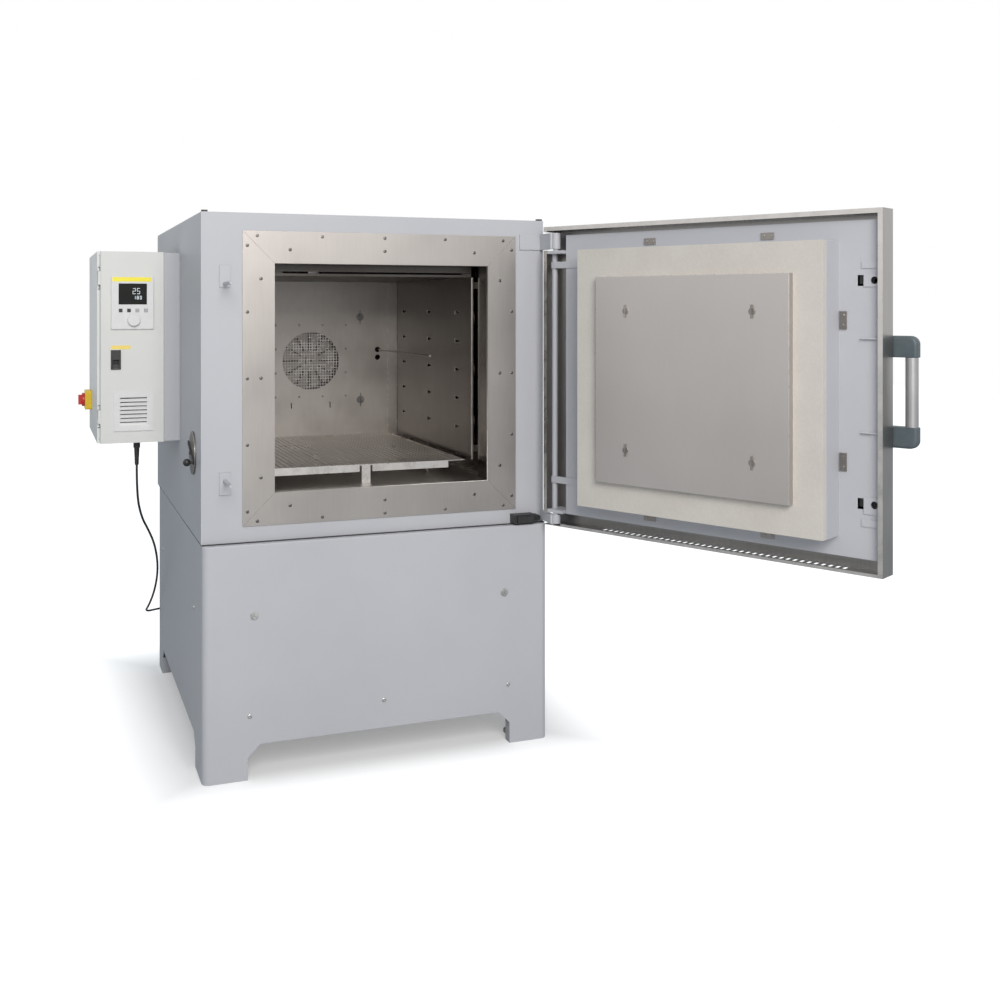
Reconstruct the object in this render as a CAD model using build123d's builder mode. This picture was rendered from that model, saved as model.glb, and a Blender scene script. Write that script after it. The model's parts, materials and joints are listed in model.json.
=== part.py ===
import os
from math import atan2, degrees, hypot, pi, radians, tan

from build123d import *

os.makedirs("parts", exist_ok=True)

# Driving sizes, in mm. X runs right, Y runs from the door into the furnace, Z runs up.
# The origin is on the floor at the middle of the stand's footprint.
casing_width = 1000
casing_depth = 1140
casing_height = 892
stand_width = 1000
stand_depth = 1118
stand_height = 632
stand_proud = 28
opening = 625
opening_x = 10
opening_rise = 443.5
door_width = 1004
door_height = 866
door_depth = 65
door_gap = 70
door_open_deg = 117.1
box_width = 194
box_depth = 518
box_height = 575

# Sheet and running sizes.
sheet = 2
stand_sheet = 3
seat_gap = 0.3
running_gap = 0.05

# Planes that the pieces share.
casing_front = -stand_depth / 2 + stand_proud
casing_rear = casing_front + casing_depth
casing_half = casing_width / 2
casing_top = stand_height + casing_height
stand_half = stand_width / 2
stand_front = -stand_depth / 2
stand_rear = stand_depth / 2
opening_z = stand_height + opening_rise
opening_half = opening / 2

# Where the inner parts start, counted back from the casing front.
neck_depth = 75
baffle_front = casing_front + 100
back_wall = casing_front + 850
liner_rear = casing_front + 900
board_rear = casing_front + 1030


def block(x0, x1, y0, y1, z0, z1, mode=Mode.ADD):
    """A box between two corners."""
    with Locations(((x0 + x1) / 2, (y0 + y1) / 2, (z0 + z1) / 2)):
        Box(abs(x1 - x0), abs(y1 - y0), abs(z1 - z0), mode=mode)


def rod_x(y, z, x0, x1, radius, mode=Mode.ADD):
    """A cylinder along X between two stations."""
    with Locations(((x0 + x1) / 2, y, z)):
        Cylinder(radius, abs(x1 - x0), rotation=(0, 90, 0), mode=mode)


def rod_y(x, z, y0, y1, radius, mode=Mode.ADD):
    """A cylinder along Y between two stations."""
    with Locations((x, (y0 + y1) / 2, z)):
        Cylinder(radius, abs(y1 - y0), rotation=(90, 0, 0), mode=mode)


def rod_z(x, y, z0, z1, radius, mode=Mode.ADD):
    """A cylinder along Z between two stations."""
    with Locations((x, y, (z0 + z1) / 2)):
        Cylinder(radius, abs(z1 - z0), mode=mode)


def save(builder, name):
    """Names the piece and writes its file."""
    builder.part.label = name
    export_step(builder.part, f"parts/{name}.step")


# Stand: a folded sheet wrap with openings between its four feet.
stand_corner = 20
stand_top_edge = 4
stand_flange = 60
front_arch_top = 94
side_arch_top = 88
arch_slope = 34
front_arch_half = 346
front_foot_depth = 143
rear_foot_depth = 115
foot_return = 28
side_arch_front = stand_front + front_foot_depth
side_arch_rear = stand_rear - rear_foot_depth
lock_x = 363
lock_z = 440
lock_radius = 11
lock_barrel = 8
plug_x = 375
plug_z = 171
plug_radius = 6
plug_hole = 3.5
side_screw_z = 433
side_screw_y = (casing_front + 142, casing_front + 957)
gland_x = 100 - casing_width / 2
gland_z = 176
gland_hole = 8

with BuildPart() as stand_panels:
    block(-stand_half, stand_half, stand_front, stand_rear, 0, stand_height)
    fillet(stand_panels.edges().filter_by(Axis.Z), stand_corner)
    fillet(stand_panels.faces().sort_by(Axis.Z)[-1].edges(), stand_top_edge)
    with BuildSketch():
        RectangleRounded(
            stand_width - 2 * stand_sheet, stand_depth - 2 * stand_sheet, stand_corner - stand_sheet
        )
    extrude(amount=stand_height - stand_sheet, mode=Mode.SUBTRACT)
    with BuildSketch(Plane.XY.offset(stand_height - stand_sheet)):
        Rectangle(stand_width - 2 * stand_flange, stand_depth - 2 * stand_flange)
    extrude(amount=stand_sheet, mode=Mode.SUBTRACT)
    # The arches under the front, the rear and both sides.
    with BuildSketch(Plane.XZ.offset(-stand_rear - 1)):
        Polygon(
            (-front_arch_half - arch_slope, -1),
            (front_arch_half + arch_slope, -1),
            (front_arch_half + arch_slope, front_arch_top - arch_slope),
            (front_arch_half, front_arch_top),
            (-front_arch_half, front_arch_top),
            (-front_arch_half - arch_slope, front_arch_top - arch_slope),
            align=None,
        )
    extrude(amount=stand_depth + 2, mode=Mode.SUBTRACT)
    with BuildSketch(Plane.YZ.offset(-stand_half - 1)):
        Polygon(
            (side_arch_front, -1),
            (side_arch_rear, -1),
            (side_arch_rear, side_arch_top - arch_slope),
            (side_arch_rear - arch_slope, side_arch_top),
            (side_arch_front + arch_slope, side_arch_top),
            (side_arch_front, side_arch_top - arch_slope),
            align=None,
        )
    extrude(amount=stand_width + 2, mode=Mode.SUBTRACT)
    # The rear wall gives way to a separate service panel.
    block(
        -stand_half + stand_flange, stand_half - stand_flange,
        stand_rear - stand_sheet - 0.5, stand_rear + 1,
        front_arch_top + stand_flange, stand_height - stand_flange, Mode.SUBTRACT,
    )
    # Turned-in edges stiffen the feet.
    for side in (-1, 1):
        inner = side * (front_arch_half + arch_slope)
        for y_wall, inward in ((stand_front + stand_sheet, 1), (stand_rear - stand_sheet, -1)):
            block(
                inner, inner + side * stand_sheet,
                y_wall, y_wall + inward * foot_return,
                0, front_arch_top - arch_slope,
            )
        wall = side * (stand_half - stand_sheet)
        for y_edge, away in ((side_arch_front, -1), (side_arch_rear, 1)):
            block(
                wall, wall - side * foot_return,
                y_edge, y_edge + away * stand_sheet,
                0, side_arch_top - arch_slope,
            )
    for x in (-lock_x, lock_x):
        rod_y(x, lock_z, stand_front - 1, stand_front + stand_sheet + 1, lock_barrel + 0.2, Mode.SUBTRACT)
    for x in (-plug_x, 0, plug_x):
        rod_y(x, plug_z, stand_front - 1, stand_front + stand_sheet + 1, plug_hole + 0.2, Mode.SUBTRACT)
    for y in side_screw_y:
        rod_x(y, side_screw_z, -stand_half - 1, stand_half + 1, plug_hole + 0.2, Mode.SUBTRACT)
    # The service panel is a sheet of its own, laid over the gap in the rear wall.
    block(
        -stand_half + stand_flange / 2, stand_half - stand_flange / 2,
        stand_rear, stand_rear + sheet,
        front_arch_top + stand_flange / 2, stand_height - stand_flange / 2,
    )
    rod_y(gland_x, gland_z, stand_rear - 1, stand_rear + sheet + 1, gland_hole + 0.2, Mode.SUBTRACT)
save(stand_panels, "stand_panels")

# Welded frame inside the wrap: four legs on foot plates, tied by a ring at the top.
leg_size = 50
leg_wall = 3
leg_corner = 18
foot_plate = 100
foot_plate_thick = 8
ring_height = 40
anchor_radius = 7
anchor_inset = 75
frame_half_x = stand_half - stand_sheet
frame_half_y = stand_rear - stand_sheet
anchor_x = frame_half_x - anchor_inset
anchor_y = frame_half_y - anchor_inset

with BuildPart() as stand_frame:
    for sx in (-1, 1):
        for sy in (-1, 1):
            leg_x = sx * (frame_half_x - leg_size / 2)
            leg_y = sy * (frame_half_y - leg_size / 2)
            with BuildSketch(Plane.XY.offset(foot_plate_thick)):
                with Locations((leg_x, leg_y)):
                    RectangleRounded(leg_size, leg_size, leg_corner)
                    RectangleRounded(
                        leg_size - 2 * leg_wall, leg_size - 2 * leg_wall, leg_corner - leg_wall,
                        mode=Mode.SUBTRACT,
                    )
            extrude(amount=stand_height - stand_sheet - ring_height - foot_plate_thick)
            with BuildSketch():
                with Locations((sx * (frame_half_x - foot_plate / 2), sy * (frame_half_y - foot_plate / 2))):
                    RectangleRounded(foot_plate, foot_plate, leg_corner)
                with Locations((sx * anchor_x, sy * anchor_y)):
                    Circle(anchor_radius, mode=Mode.SUBTRACT)
            extrude(amount=foot_plate_thick)
    with BuildSketch(Plane.XY.offset(stand_height - stand_sheet - ring_height)):
        RectangleRounded(2 * frame_half_x, 2 * frame_half_y, leg_corner)
        Rectangle(2 * frame_half_x - 2 * leg_size, 2 * frame_half_y - 2 * leg_size, mode=Mode.SUBTRACT)
    extrude(amount=ring_height)
save(stand_frame, "stand_frame")

# Quarter-turn locks on the front of the stand: collar, barrel and a tab behind the sheet.
lock_collar = 3
lock_tab = 34
with BuildPart() as stand_locks:
    for x in (-lock_x, lock_x):
        rod_y(x, lock_z, stand_front - lock_collar, stand_front, lock_radius)
        rod_y(x, lock_z, stand_front, stand_front + stand_sheet + 15, lock_barrel)
        tab_start = stand_front + stand_sheet + 12
        block(x - 7, x + 7, tab_start, tab_start + 3, lock_z - 7, lock_z + lock_tab)
        # A slot for the key.
        block(
            x - 1.5, x + 1.5, stand_front - lock_collar - 1, stand_front - 1,
            lock_z - 6, lock_z + 6, Mode.SUBTRACT,
        )
save(stand_locks, "stand_locks")

with BuildPart() as stand_screws:
    for x in (-plug_x, 0, plug_x):
        rod_y(x, plug_z, stand_front - 2.5, stand_front, plug_radius)
        rod_y(x, plug_z, stand_front, stand_front + stand_sheet + 6, plug_hole)
    for y in side_screw_y:
        for side in (-1, 1):
            face = side * stand_half
            rod_x(y, side_screw_z, face, face + side * 2.5, plug_radius)
            rod_x(y, side_screw_z, face, face - side * (stand_sheet + 6), plug_hole)
save(stand_screws, "stand_screws")

# Casing: six sheets that meet face to face on the stand.
skin_half = casing_half - sheet
damper_y = casing_front + 153
damper_z = stand_height + 230
damper_shaft = 4
damper_hole = damper_shaft + running_gap
exhaust_x = opening_x
exhaust_z = opening_z + opening_half + 5
exhaust_radius = 25
motor_slot_count = 8

with BuildPart() as casing_sides:
    for side in (-1, 1):
        block(side * skin_half, side * casing_half, casing_front, casing_rear, stand_height, casing_top)
    rod_x(damper_y, damper_z, -casing_half - 1, -skin_half + 1, damper_hole, Mode.SUBTRACT)
save(casing_sides, "casing_sides")

with BuildPart() as casing_covers:
    for z in (stand_height, casing_top - sheet):
        block(-skin_half, skin_half, casing_front + sheet, casing_rear - sheet, z, z + sheet)
save(casing_covers, "casing_covers")

fan_x = opening_x - 16
fan_z = opening_z + 3.5
with BuildPart() as casing_back:
    block(-skin_half, skin_half, casing_rear - sheet, casing_rear, stand_height, casing_top)
    rod_y(
        exhaust_x, exhaust_z, casing_rear - sheet - 1, casing_rear + 1, exhaust_radius + seat_gap,
        Mode.SUBTRACT,
    )
    # Louvre slots that cool the motor.
    for row in range(motor_slot_count):
        slot_z = fan_z - 90 + 25 * row
        block(
            fan_x - 90, fan_x + 90, casing_rear - sheet - 1, casing_rear + 1, slot_z, slot_z + 8,
            Mode.SUBTRACT,
        )
save(casing_back, "casing_back")

# Front ring of plates around the opening, and the screws that hold them.
neck_half = opening_half + sheet
ring_half = opening_half + 87.5
ring_thick = 3
outer_screw_row = ring_half - 13
inner_screw_row = opening_half + 37.5
outer_screw_pitch = (ring_half - 40) / 2
inner_screw_pitch = opening_half - 42.5
screw_head = 4.5
screw_shank = 2.25

outer_screws = []
inner_screws = []
for number in (-2, -1, 0, 1, 2):
    step = number * outer_screw_pitch
    outer_screws += [(step, outer_screw_row), (step, -outer_screw_row)]
    outer_screws += [(outer_screw_row, step), (-outer_screw_row, step)]
for number in (-1, 0, 1):
    step = number * inner_screw_pitch
    inner_screws += [(step, inner_screw_row), (step, -inner_screw_row)]
    inner_screws += [(inner_screw_row, step), (-inner_screw_row, step)]

with BuildPart() as casing_front_sheet:
    block(-skin_half, skin_half, casing_front, casing_front + sheet, stand_height, casing_top)
    block(
        opening_x - neck_half, opening_x + neck_half, casing_front - 1, casing_front + sheet + 1,
        opening_z - neck_half, opening_z + neck_half, Mode.SUBTRACT,
    )
    for dx, dz in outer_screws + inner_screws:
        rod_y(
            opening_x + dx, opening_z + dz, casing_front - 1, casing_front + sheet + 1,
            screw_shank + 0.2, Mode.SUBTRACT,
        )
save(casing_front_sheet, "casing_front_sheet")

ring_face = casing_front - ring_thick
mitre_gap = 0.25
with BuildPart() as front_ring:
    for turn in range(4):
        front_plane = Plane(origin=(opening_x, casing_front, opening_z), x_dir=(1, 0, 0), z_dir=(0, -1, 0))
        with BuildSketch(front_plane):
            with Locations(Rotation(0, 0, 90 * turn)):
                Polygon(
                    (-ring_half + mitre_gap, ring_half),
                    (ring_half - mitre_gap, ring_half),
                    (opening_half - mitre_gap, opening_half),
                    (-opening_half + mitre_gap, opening_half),
                    align=None,
                )
        extrude(amount=ring_thick)
    for dx, dz in outer_screws:
        rod_y(
            opening_x + dx, opening_z + dz, ring_face - 1, casing_front + 1, screw_shank + 0.2,
            Mode.SUBTRACT,
        )
    for dx, dz in inner_screws:
        rod_y(
            opening_x + dx, opening_z + dz, ring_face - 1, casing_front + 1, screw_shank + 0.2,
            Mode.SUBTRACT,
        )
        rod_y(opening_x + dx, opening_z + dz, ring_face - 1, ring_face + 2, screw_head + 0.2, Mode.SUBTRACT)
save(front_ring, "front_ring")

with BuildPart() as ring_screws:
    for dx, dz in outer_screws:
        rod_y(opening_x + dx, opening_z + dz, ring_face - 2, ring_face, screw_head)
        rod_y(opening_x + dx, opening_z + dz, ring_face, casing_front + sheet, screw_shank)
    for dx, dz in inner_screws:
        rod_y(opening_x + dx, opening_z + dz, ring_face, ring_face + 2, screw_head)
        rod_y(opening_x + dx, opening_z + dz, ring_face + 2, casing_front + sheet, screw_shank)
save(ring_screws, "ring_screws")

cap_width = 16
cap_height = 5
with BuildPart() as roof_caps:
    for side in (-1, 1):
        with BuildSketch(Plane.XY.offset(casing_top)):
            with Locations((side * (casing_half - cap_width / 2 - 2), casing_front + 10)):
                RectangleRounded(cap_width, cap_width, 3)
        extrude(amount=cap_height)
save(roof_caps, "roof_caps")

# Liner: a stainless box wider than its neck, so air can pass behind the baffles.
liner_half = opening_half + 37.5
liner_top = opening_z + liner_half
chamber_floor = opening_z - opening_half
liner_front = casing_front + neck_depth
shaft_radius = 6
probe_x = opening_x + opening_half - 85.5
probe_z = opening_z + 40.5
probe_radius = 3
heater_radius = 4.25
heater_x = opening_half + 13.5
heater_rows = (-0.58, -0.42, -0.08, 0.08, 0.42, 0.58)

with BuildPart() as chamber_liner:
    block(
        opening_x - neck_half, opening_x + neck_half, casing_front, liner_front + sheet,
        opening_z - neck_half, opening_z + neck_half,
    )
    block(
        opening_x - liner_half - sheet, opening_x + liner_half + sheet, liner_front, liner_rear + sheet,
        chamber_floor - sheet, liner_top + sheet,
    )
    block(
        opening_x - opening_half, opening_x + opening_half, casing_front - 1, liner_front + sheet + 1,
        chamber_floor, opening_z + opening_half, Mode.SUBTRACT,
    )
    block(
        opening_x - liner_half, opening_x + liner_half, liner_front + sheet, liner_rear,
        chamber_floor, liner_top, Mode.SUBTRACT,
    )
    rod_y(fan_x, fan_z, liner_rear - 1, liner_rear + sheet + 1, shaft_radius + 4, Mode.SUBTRACT)
    rod_y(probe_x, probe_z, liner_rear - 1, liner_rear + sheet + 1, probe_radius + 0.1, Mode.SUBTRACT)
    rod_y(
        exhaust_x, exhaust_z, liner_rear - 1, liner_rear + sheet + 1, exhaust_radius + seat_gap,
        Mode.SUBTRACT,
    )
    for side in (-1, 1):
        for row in heater_rows:
            rod_y(
                opening_x + side * heater_x, opening_z + row * opening_half,
                liner_rear - 1, liner_rear + sheet + 1,
                heater_radius + 0.2, Mode.SUBTRACT,
            )
save(chamber_liner, "chamber_liner")

# Insulation boards between the liner and the casing.
liner_left = opening_x - liner_half - sheet
liner_right = opening_x + liner_half + sheet
liner_base = chamber_floor - sheet
liner_roof = liner_top + sheet
liner_back = liner_rear + sheet
skin_front = casing_front + sheet
skin_floor = stand_height + sheet
skin_roof = casing_top - sheet
damper_recess = 24

with BuildPart() as insulation:
    block(-skin_half, liner_left, skin_front, board_rear, skin_floor, skin_roof)
    block(liner_right, skin_half, skin_front, board_rear, skin_floor, skin_roof)
    rod_x(damper_y, damper_z, -skin_half - 1, -skin_half + damper_recess, 16, Mode.SUBTRACT)
    block(liner_left, liner_right, skin_front, liner_back, skin_floor, liner_base)
    block(liner_left, liner_right, liner_front, liner_back, liner_roof, skin_roof)
    block(liner_left, liner_right, liner_back, board_rear, skin_floor, skin_roof)
    # The collar around the neck.
    block(
        liner_left, liner_right, skin_front, liner_front, liner_base, skin_roof,
    )
    block(
        opening_x - neck_half, opening_x + neck_half, skin_front - 1, liner_front + 1,
        opening_z - neck_half - 1, opening_z + neck_half, Mode.SUBTRACT,
    )
    rod_y(fan_x, fan_z, liner_back - 1, board_rear + 1, shaft_radius + 4, Mode.SUBTRACT)
    rod_y(probe_x, probe_z, liner_back - 1, board_rear + 1, probe_radius + 0.1, Mode.SUBTRACT)
    rod_y(exhaust_x, exhaust_z, liner_back - 1, board_rear + 1, exhaust_radius + seat_gap, Mode.SUBTRACT)
    for side in (-1, 1):
        for row in heater_rows:
            rod_y(
                opening_x + side * heater_x, opening_z + row * opening_half, liner_back - 1, board_rear + 1,
                heater_radius + 0.2, Mode.SUBTRACT,
            )
save(insulation, "insulation")

# Air guides: two side baffles, a ceiling baffle with its fascia and the back wall.
baffle_half = opening_half - 12.5
baffle_sheet = 2
baffle_base = chamber_floor + 49
baffle_top = opening_z + opening_half - 31.5
baffle_spacer = 20
fold = 4
hole_pitch = 0.282 * opening_half
hole_rows = range(-2, 3)
hole_columns = (casing_front + 222, casing_front + 490, casing_front + 764)
air_hole_length = 44
air_hole_height = 13
fascia_top = liner_top
fascia_lip = 7.5
fascia_gap = 5
fascia_tie = 30

with BuildPart() as side_baffles:
    for side in (-1, 1):
        inner = opening_x + side * baffle_half
        outer = inner + side * baffle_sheet
        wall = opening_x + side * liner_half
        block(inner, outer, baffle_front, back_wall - baffle_sheet, baffle_base, baffle_top)
        # The front edge is folded towards the liner.
        block(
            outer, outer + side * fold, baffle_front, baffle_front + baffle_sheet, baffle_base,
            baffle_top,
        )
        for y in (casing_front + 180, casing_front + 420, casing_front + 700):
            for z in (baffle_base + 12, baffle_top - 32):
                block(outer, wall, y, y + baffle_spacer, z, z + baffle_spacer)
        for y in hole_columns:
            for row in hole_rows:
                z = opening_z + row * hole_pitch
                with BuildSketch(Plane.YZ.offset(min(inner, outer) - 1)):
                    Polygon(
                        (y - air_hole_length / 2, z),
                        (y + air_hole_length / 2, z - air_hole_height / 2),
                        (y + air_hole_length / 2, z + air_hole_height / 2),
                        align=None,
                    )
                extrude(amount=baffle_sheet + 2, mode=Mode.SUBTRACT)
            block(inner - side, outer + side, y - 8, y + 8, baffle_base - 1, baffle_base + 6, Mode.SUBTRACT)
        # A corner strip closes the angle between the baffle and the back wall.
        block(
            inner - side * 36, inner - side * 0.5, back_wall - 1.5, back_wall, baffle_base, baffle_top,
        )
save(side_baffles, "side_baffles")

with BuildPart() as ceiling_baffle:
    block(
        opening_x - baffle_half, opening_x + baffle_half,
        baffle_front, back_wall, baffle_top, baffle_top + baffle_sheet,
    )
    block(
        opening_x - baffle_half, opening_x + baffle_half,
        baffle_front, baffle_front + baffle_sheet, baffle_top, baffle_top + fascia_lip,
    )
    # The fascia above the lip leaves a slot, and ties at its ends hold it.
    fascia_base = baffle_top + fascia_lip + fascia_gap
    block(
        opening_x - baffle_half, opening_x + baffle_half,
        baffle_front, baffle_front + baffle_sheet, fascia_base, fascia_top,
    )
    for side in (-1, 1):
        end = opening_x + side * baffle_half
        block(
            end, end - side * fascia_tie, baffle_front + baffle_sheet, baffle_front + 2 * baffle_sheet,
            baffle_top + baffle_sheet, fascia_base + 20,
        )
save(ceiling_baffle, "ceiling_baffle")

mesh_radius = 102
mount_square = 125
mount_step = 41.7
slot_offset = 69
lower_slot_z = opening_z - 152.5
service_hole_z = opening_z + 12.5
service_radius = 9.5
rivet_spots = []
for step in (-3, -1, 1, 3):
    along = step * mount_step
    rivet_spots += [(along, mount_square), (along, -mount_square)]
for step in (-1, 1):
    along = step * mount_step
    rivet_spots += [(mount_square, along), (-mount_square, along)]
rivet_radius = 2.4

with BuildPart() as back_baffle:
    block(
        opening_x - liner_half, opening_x + liner_half,
        back_wall, back_wall + baffle_sheet, chamber_floor, liner_top,
    )
    rod_y(fan_x, fan_z, back_wall - 1, back_wall + baffle_sheet + 1, mesh_radius, Mode.SUBTRACT)
    for side in (-1, 1):
        block(
            opening_x + side * (baffle_half + 6), opening_x + side * (liner_half - 6),
            back_wall - 1, back_wall + baffle_sheet + 1,
            opening_z - 0.74 * opening_half, opening_z + 0.74 * opening_half, Mode.SUBTRACT,
        )
        block(
            fan_x + side * slot_offset - 1.5, fan_x + side * slot_offset + 1.5,
            back_wall - 1, back_wall + baffle_sheet + 1, lower_slot_z - 10, lower_slot_z + 10, Mode.SUBTRACT,
        )
    for z in (probe_z, service_hole_z):
        rod_y(probe_x, z, back_wall - 1, back_wall + baffle_sheet + 1, service_radius, Mode.SUBTRACT)
    rod_y(
        exhaust_x, exhaust_z, back_wall - 1, back_wall + baffle_sheet + 1, exhaust_radius + seat_gap,
        Mode.SUBTRACT,
    )
    for dx, dz in rivet_spots:
        rod_y(
            fan_x + dx, fan_z + dz, back_wall - 1, back_wall + baffle_sheet + 1, rivet_radius,
            Mode.SUBTRACT,
        )
save(back_baffle, "back_baffle")

# Fan guard: a riveted plate with a round window of square mesh in front of the wheel.
guard_sheet = 1.5
mesh_pitch = 9.6
mesh_hole = 7.2
mesh_count = 21
guard_plane = Plane(origin=(fan_x, back_wall, fan_z), x_dir=(1, 0, 0), z_dir=(0, -1, 0))
with BuildSketch(guard_plane) as mesh_window:
    with GridLocations(mesh_pitch, mesh_pitch, mesh_count, mesh_count):
        Rectangle(mesh_hole, mesh_hole)
    Circle(mesh_radius - 1.5, mode=Mode.INTERSECT)
with BuildPart() as fan_guard:
    with BuildSketch(guard_plane):
        Rectangle(2 * mount_square + 20, 2 * mount_square + 20)
        with Locations(*rivet_spots):
            Circle(rivet_radius, mode=Mode.SUBTRACT)
    extrude(amount=guard_sheet)
    extrude(mesh_window.sketch, amount=guard_sheet, mode=Mode.SUBTRACT)
save(fan_guard, "fan_guard")

with BuildPart() as guard_rivets:
    for dx, dz in rivet_spots:
        rod_y(
            fan_x + dx, fan_z + dz, back_wall - guard_sheet - 1.2, back_wall - guard_sheet,
            rivet_radius + 1.2,
        )
        rod_y(fan_x + dx, fan_z + dz, back_wall - guard_sheet, back_wall + baffle_sheet, rivet_radius)
save(guard_rivets, "guard_rivets")

# Fan: a radial wheel on a long shaft, driven by a motor outside the insulation.
wheel_radius = 96
wheel_front = back_wall + baffle_sheet + 5
wheel_back = liner_rear - 7
blade_count = 12
hub_radius = 15
motor_front = board_rear + sheet
with BuildPart() as fan_wheel:
    rod_y(fan_x, fan_z, wheel_back - 2, wheel_back, wheel_radius)
    rod_y(fan_x, fan_z, wheel_front, wheel_back - 2, hub_radius)
    with BuildSketch(Plane(origin=(fan_x, wheel_back - 2, fan_z), x_dir=(1, 0, 0), z_dir=(0, -1, 0))):
        with PolarLocations(wheel_radius / 2 + 18, blade_count):
            Rectangle(wheel_radius - 40, 2)
    extrude(amount=wheel_back - 2 - wheel_front)
    rod_y(fan_x, fan_z, wheel_front - 1, wheel_back + 1, shaft_radius, Mode.SUBTRACT)
save(fan_wheel, "fan_wheel")

with BuildPart() as fan_shaft:
    rod_y(fan_x, fan_z, wheel_front, motor_front + 6, shaft_radius)
save(fan_shaft, "fan_shaft")

motor_radius = 60
motor_length = 86
with BuildPart() as fan_motor:
    block(fan_x - 95, fan_x + 95, board_rear, board_rear + sheet, fan_z - 95, fan_z + 95)
    rod_y(fan_x, fan_z, motor_front, motor_front + motor_length, motor_radius)
    rod_y(fan_x, fan_z, board_rear - 1, motor_front + 8, shaft_radius + running_gap, Mode.SUBTRACT)
save(fan_motor, "fan_motor")

# Heating rods: hairpins that lie in the air channel behind each side baffle.
heater_front = casing_front + 170
heater_end = board_rear + 20
with BuildPart() as heaters:
    for side in (-1, 1):
        for pair in range(3):
            low = opening_z + heater_rows[2 * pair] * opening_half
            high = opening_z + heater_rows[2 * pair + 1] * opening_half
            bend = (high - low) / 2
            with BuildLine(Plane.YZ.offset(opening_x + side * heater_x)) as hairpin:
                lower_run = Line((heater_end, low), (heater_front, low))
                bend_arc = ThreePointArc(
                    (heater_front, low), (heater_front - bend, low + bend), (heater_front, high),
                )
                upper_run = Line((heater_front, high), (heater_end, high))
            with BuildSketch(Plane(origin=hairpin.line @ 0, z_dir=hairpin.line % 0)):
                Circle(heater_radius)
            sweep(path=hairpin.wires()[0])
save(heaters, "heaters")

# Temperature probe: a rod through the back wall that reaches forward into the chamber.
probe_tip = casing_front + 270
with BuildPart() as temperature_probe:
    rod_y(probe_x, probe_z, probe_tip, board_rear + 12, probe_radius)
    rod_y(probe_x, probe_z, board_rear, board_rear + 30, probe_radius + 6)
save(temperature_probe, "temperature_probe")

# Exhaust pipe from the chamber out through the back, and its spigot.
spigot_length = 45
with BuildPart() as exhaust_pipe:
    rod_y(exhaust_x, exhaust_z, liner_rear, casing_rear + spigot_length, exhaust_radius)
    rod_y(
        exhaust_x, exhaust_z, liner_rear - 1, casing_rear + spigot_length + 1, exhaust_radius - 2,
        Mode.SUBTRACT,
    )
    rod_y(exhaust_x, exhaust_z, casing_rear, casing_rear + 3, exhaust_radius + 18)
    rod_y(exhaust_x, exhaust_z, casing_rear - 1, casing_rear + 4, exhaust_radius - 2, Mode.SUBTRACT)
save(exhaust_pipe, "exhaust_pipe")

# Shelf on the chamber floor: a perforated plate with a front apron on two rails.
shelf_top = chamber_floor + 52
shelf_left = opening_x - opening_half + 16.5
shelf_right = opening_x + opening_half - 36.5
shelf_front = casing_front + 92
shelf_back = casing_front + 840
apron_height = 21
apron_half = opening_half - 89.5
bracket_x = opening_x - 29
bracket_half = 13
bracket_slot = 6
shelf_pitch = 34
shelf_hole = 9
shelf_columns = int((shelf_right - shelf_left) / shelf_pitch - 1)
shelf_rows = int((shelf_back - shelf_front) / shelf_pitch - 1)
with BuildPart() as floor_shelf:
    with BuildSketch(Plane.XY.offset(shelf_top - sheet)):
        with Locations(((shelf_left + shelf_right) / 2, (shelf_front + shelf_back) / 2)):
            Rectangle(shelf_right - shelf_left, shelf_back - shelf_front)
            with GridLocations(shelf_pitch, shelf_pitch, shelf_columns, shelf_rows):
                Circle(shelf_hole, mode=Mode.SUBTRACT)
    extrude(amount=sheet)
    block(
        shelf_left, opening_x + apron_half, shelf_front - sheet, shelf_front,
        shelf_top - apron_height, shelf_top,
    )
    # The centre foot: a strip down to the floor between two slots in the apron.
    for side in (-1, 1):
        edge = bracket_x + side * bracket_half
        block(
            edge, edge + side * bracket_slot, shelf_front - sheet - 1, shelf_front,
            shelf_top - apron_height - 1, shelf_top - 3, Mode.SUBTRACT,
        )
    block(
        bracket_x - bracket_half, bracket_x + bracket_half, shelf_front - sheet, shelf_front,
        chamber_floor, shelf_top - apron_height,
    )
    for x in (shelf_left + 12, opening_x + apron_half - 12):
        block(x, x + sheet, shelf_front + 10, shelf_back - 10, chamber_floor, shelf_top - sheet)
save(floor_shelf, "floor_shelf")

# Air damper on the left wall: a fixed disc and a lever that turns on a shaft.
damper_disc = 60
damper_disc_thick = 5
with BuildPart() as damper_plate:
    rod_x(damper_y, damper_z, -casing_half - damper_disc_thick, -casing_half, damper_disc)
    rod_x(
        damper_y, damper_z, -casing_half - damper_disc_thick - 1, -casing_half + 1, damper_hole,
        Mode.SUBTRACT,
    )
save(damper_plate, "damper_plate")

knob_y = damper_y - 50
knob_z = damper_z - 20
pointer_y = damper_y + 58
pointer_z = damper_z + 21
lever_face = -casing_half - damper_disc_thick - 0.5
lever_thick = 3
lever_angle = degrees(atan2(pointer_z - knob_z, pointer_y - knob_y))
lever_length = hypot(pointer_y - knob_y, pointer_z - knob_z)
with BuildPart() as damper_lever:
    with Locations((lever_face - lever_thick / 2, (knob_y + pointer_y) / 2, (knob_z + pointer_z) / 2)):
        Box(lever_thick, lever_length + 10, 12, rotation=(lever_angle, 0, 0))
    rod_x(damper_y, damper_z, lever_face - lever_thick - 4, -skin_half + 10, damper_shaft)
    rod_x(damper_y, damper_z, -skin_half + 4, -skin_half + 11, 12)
    rod_x(knob_y, knob_z, lever_face - lever_thick - 8, lever_face - 1, 3.5)
    with Locations((lever_face - lever_thick - 16, knob_y, knob_z)):
        Sphere(10.5, rotation=(0, 0, 137))
save(damper_lever, "damper_lever")

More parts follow.
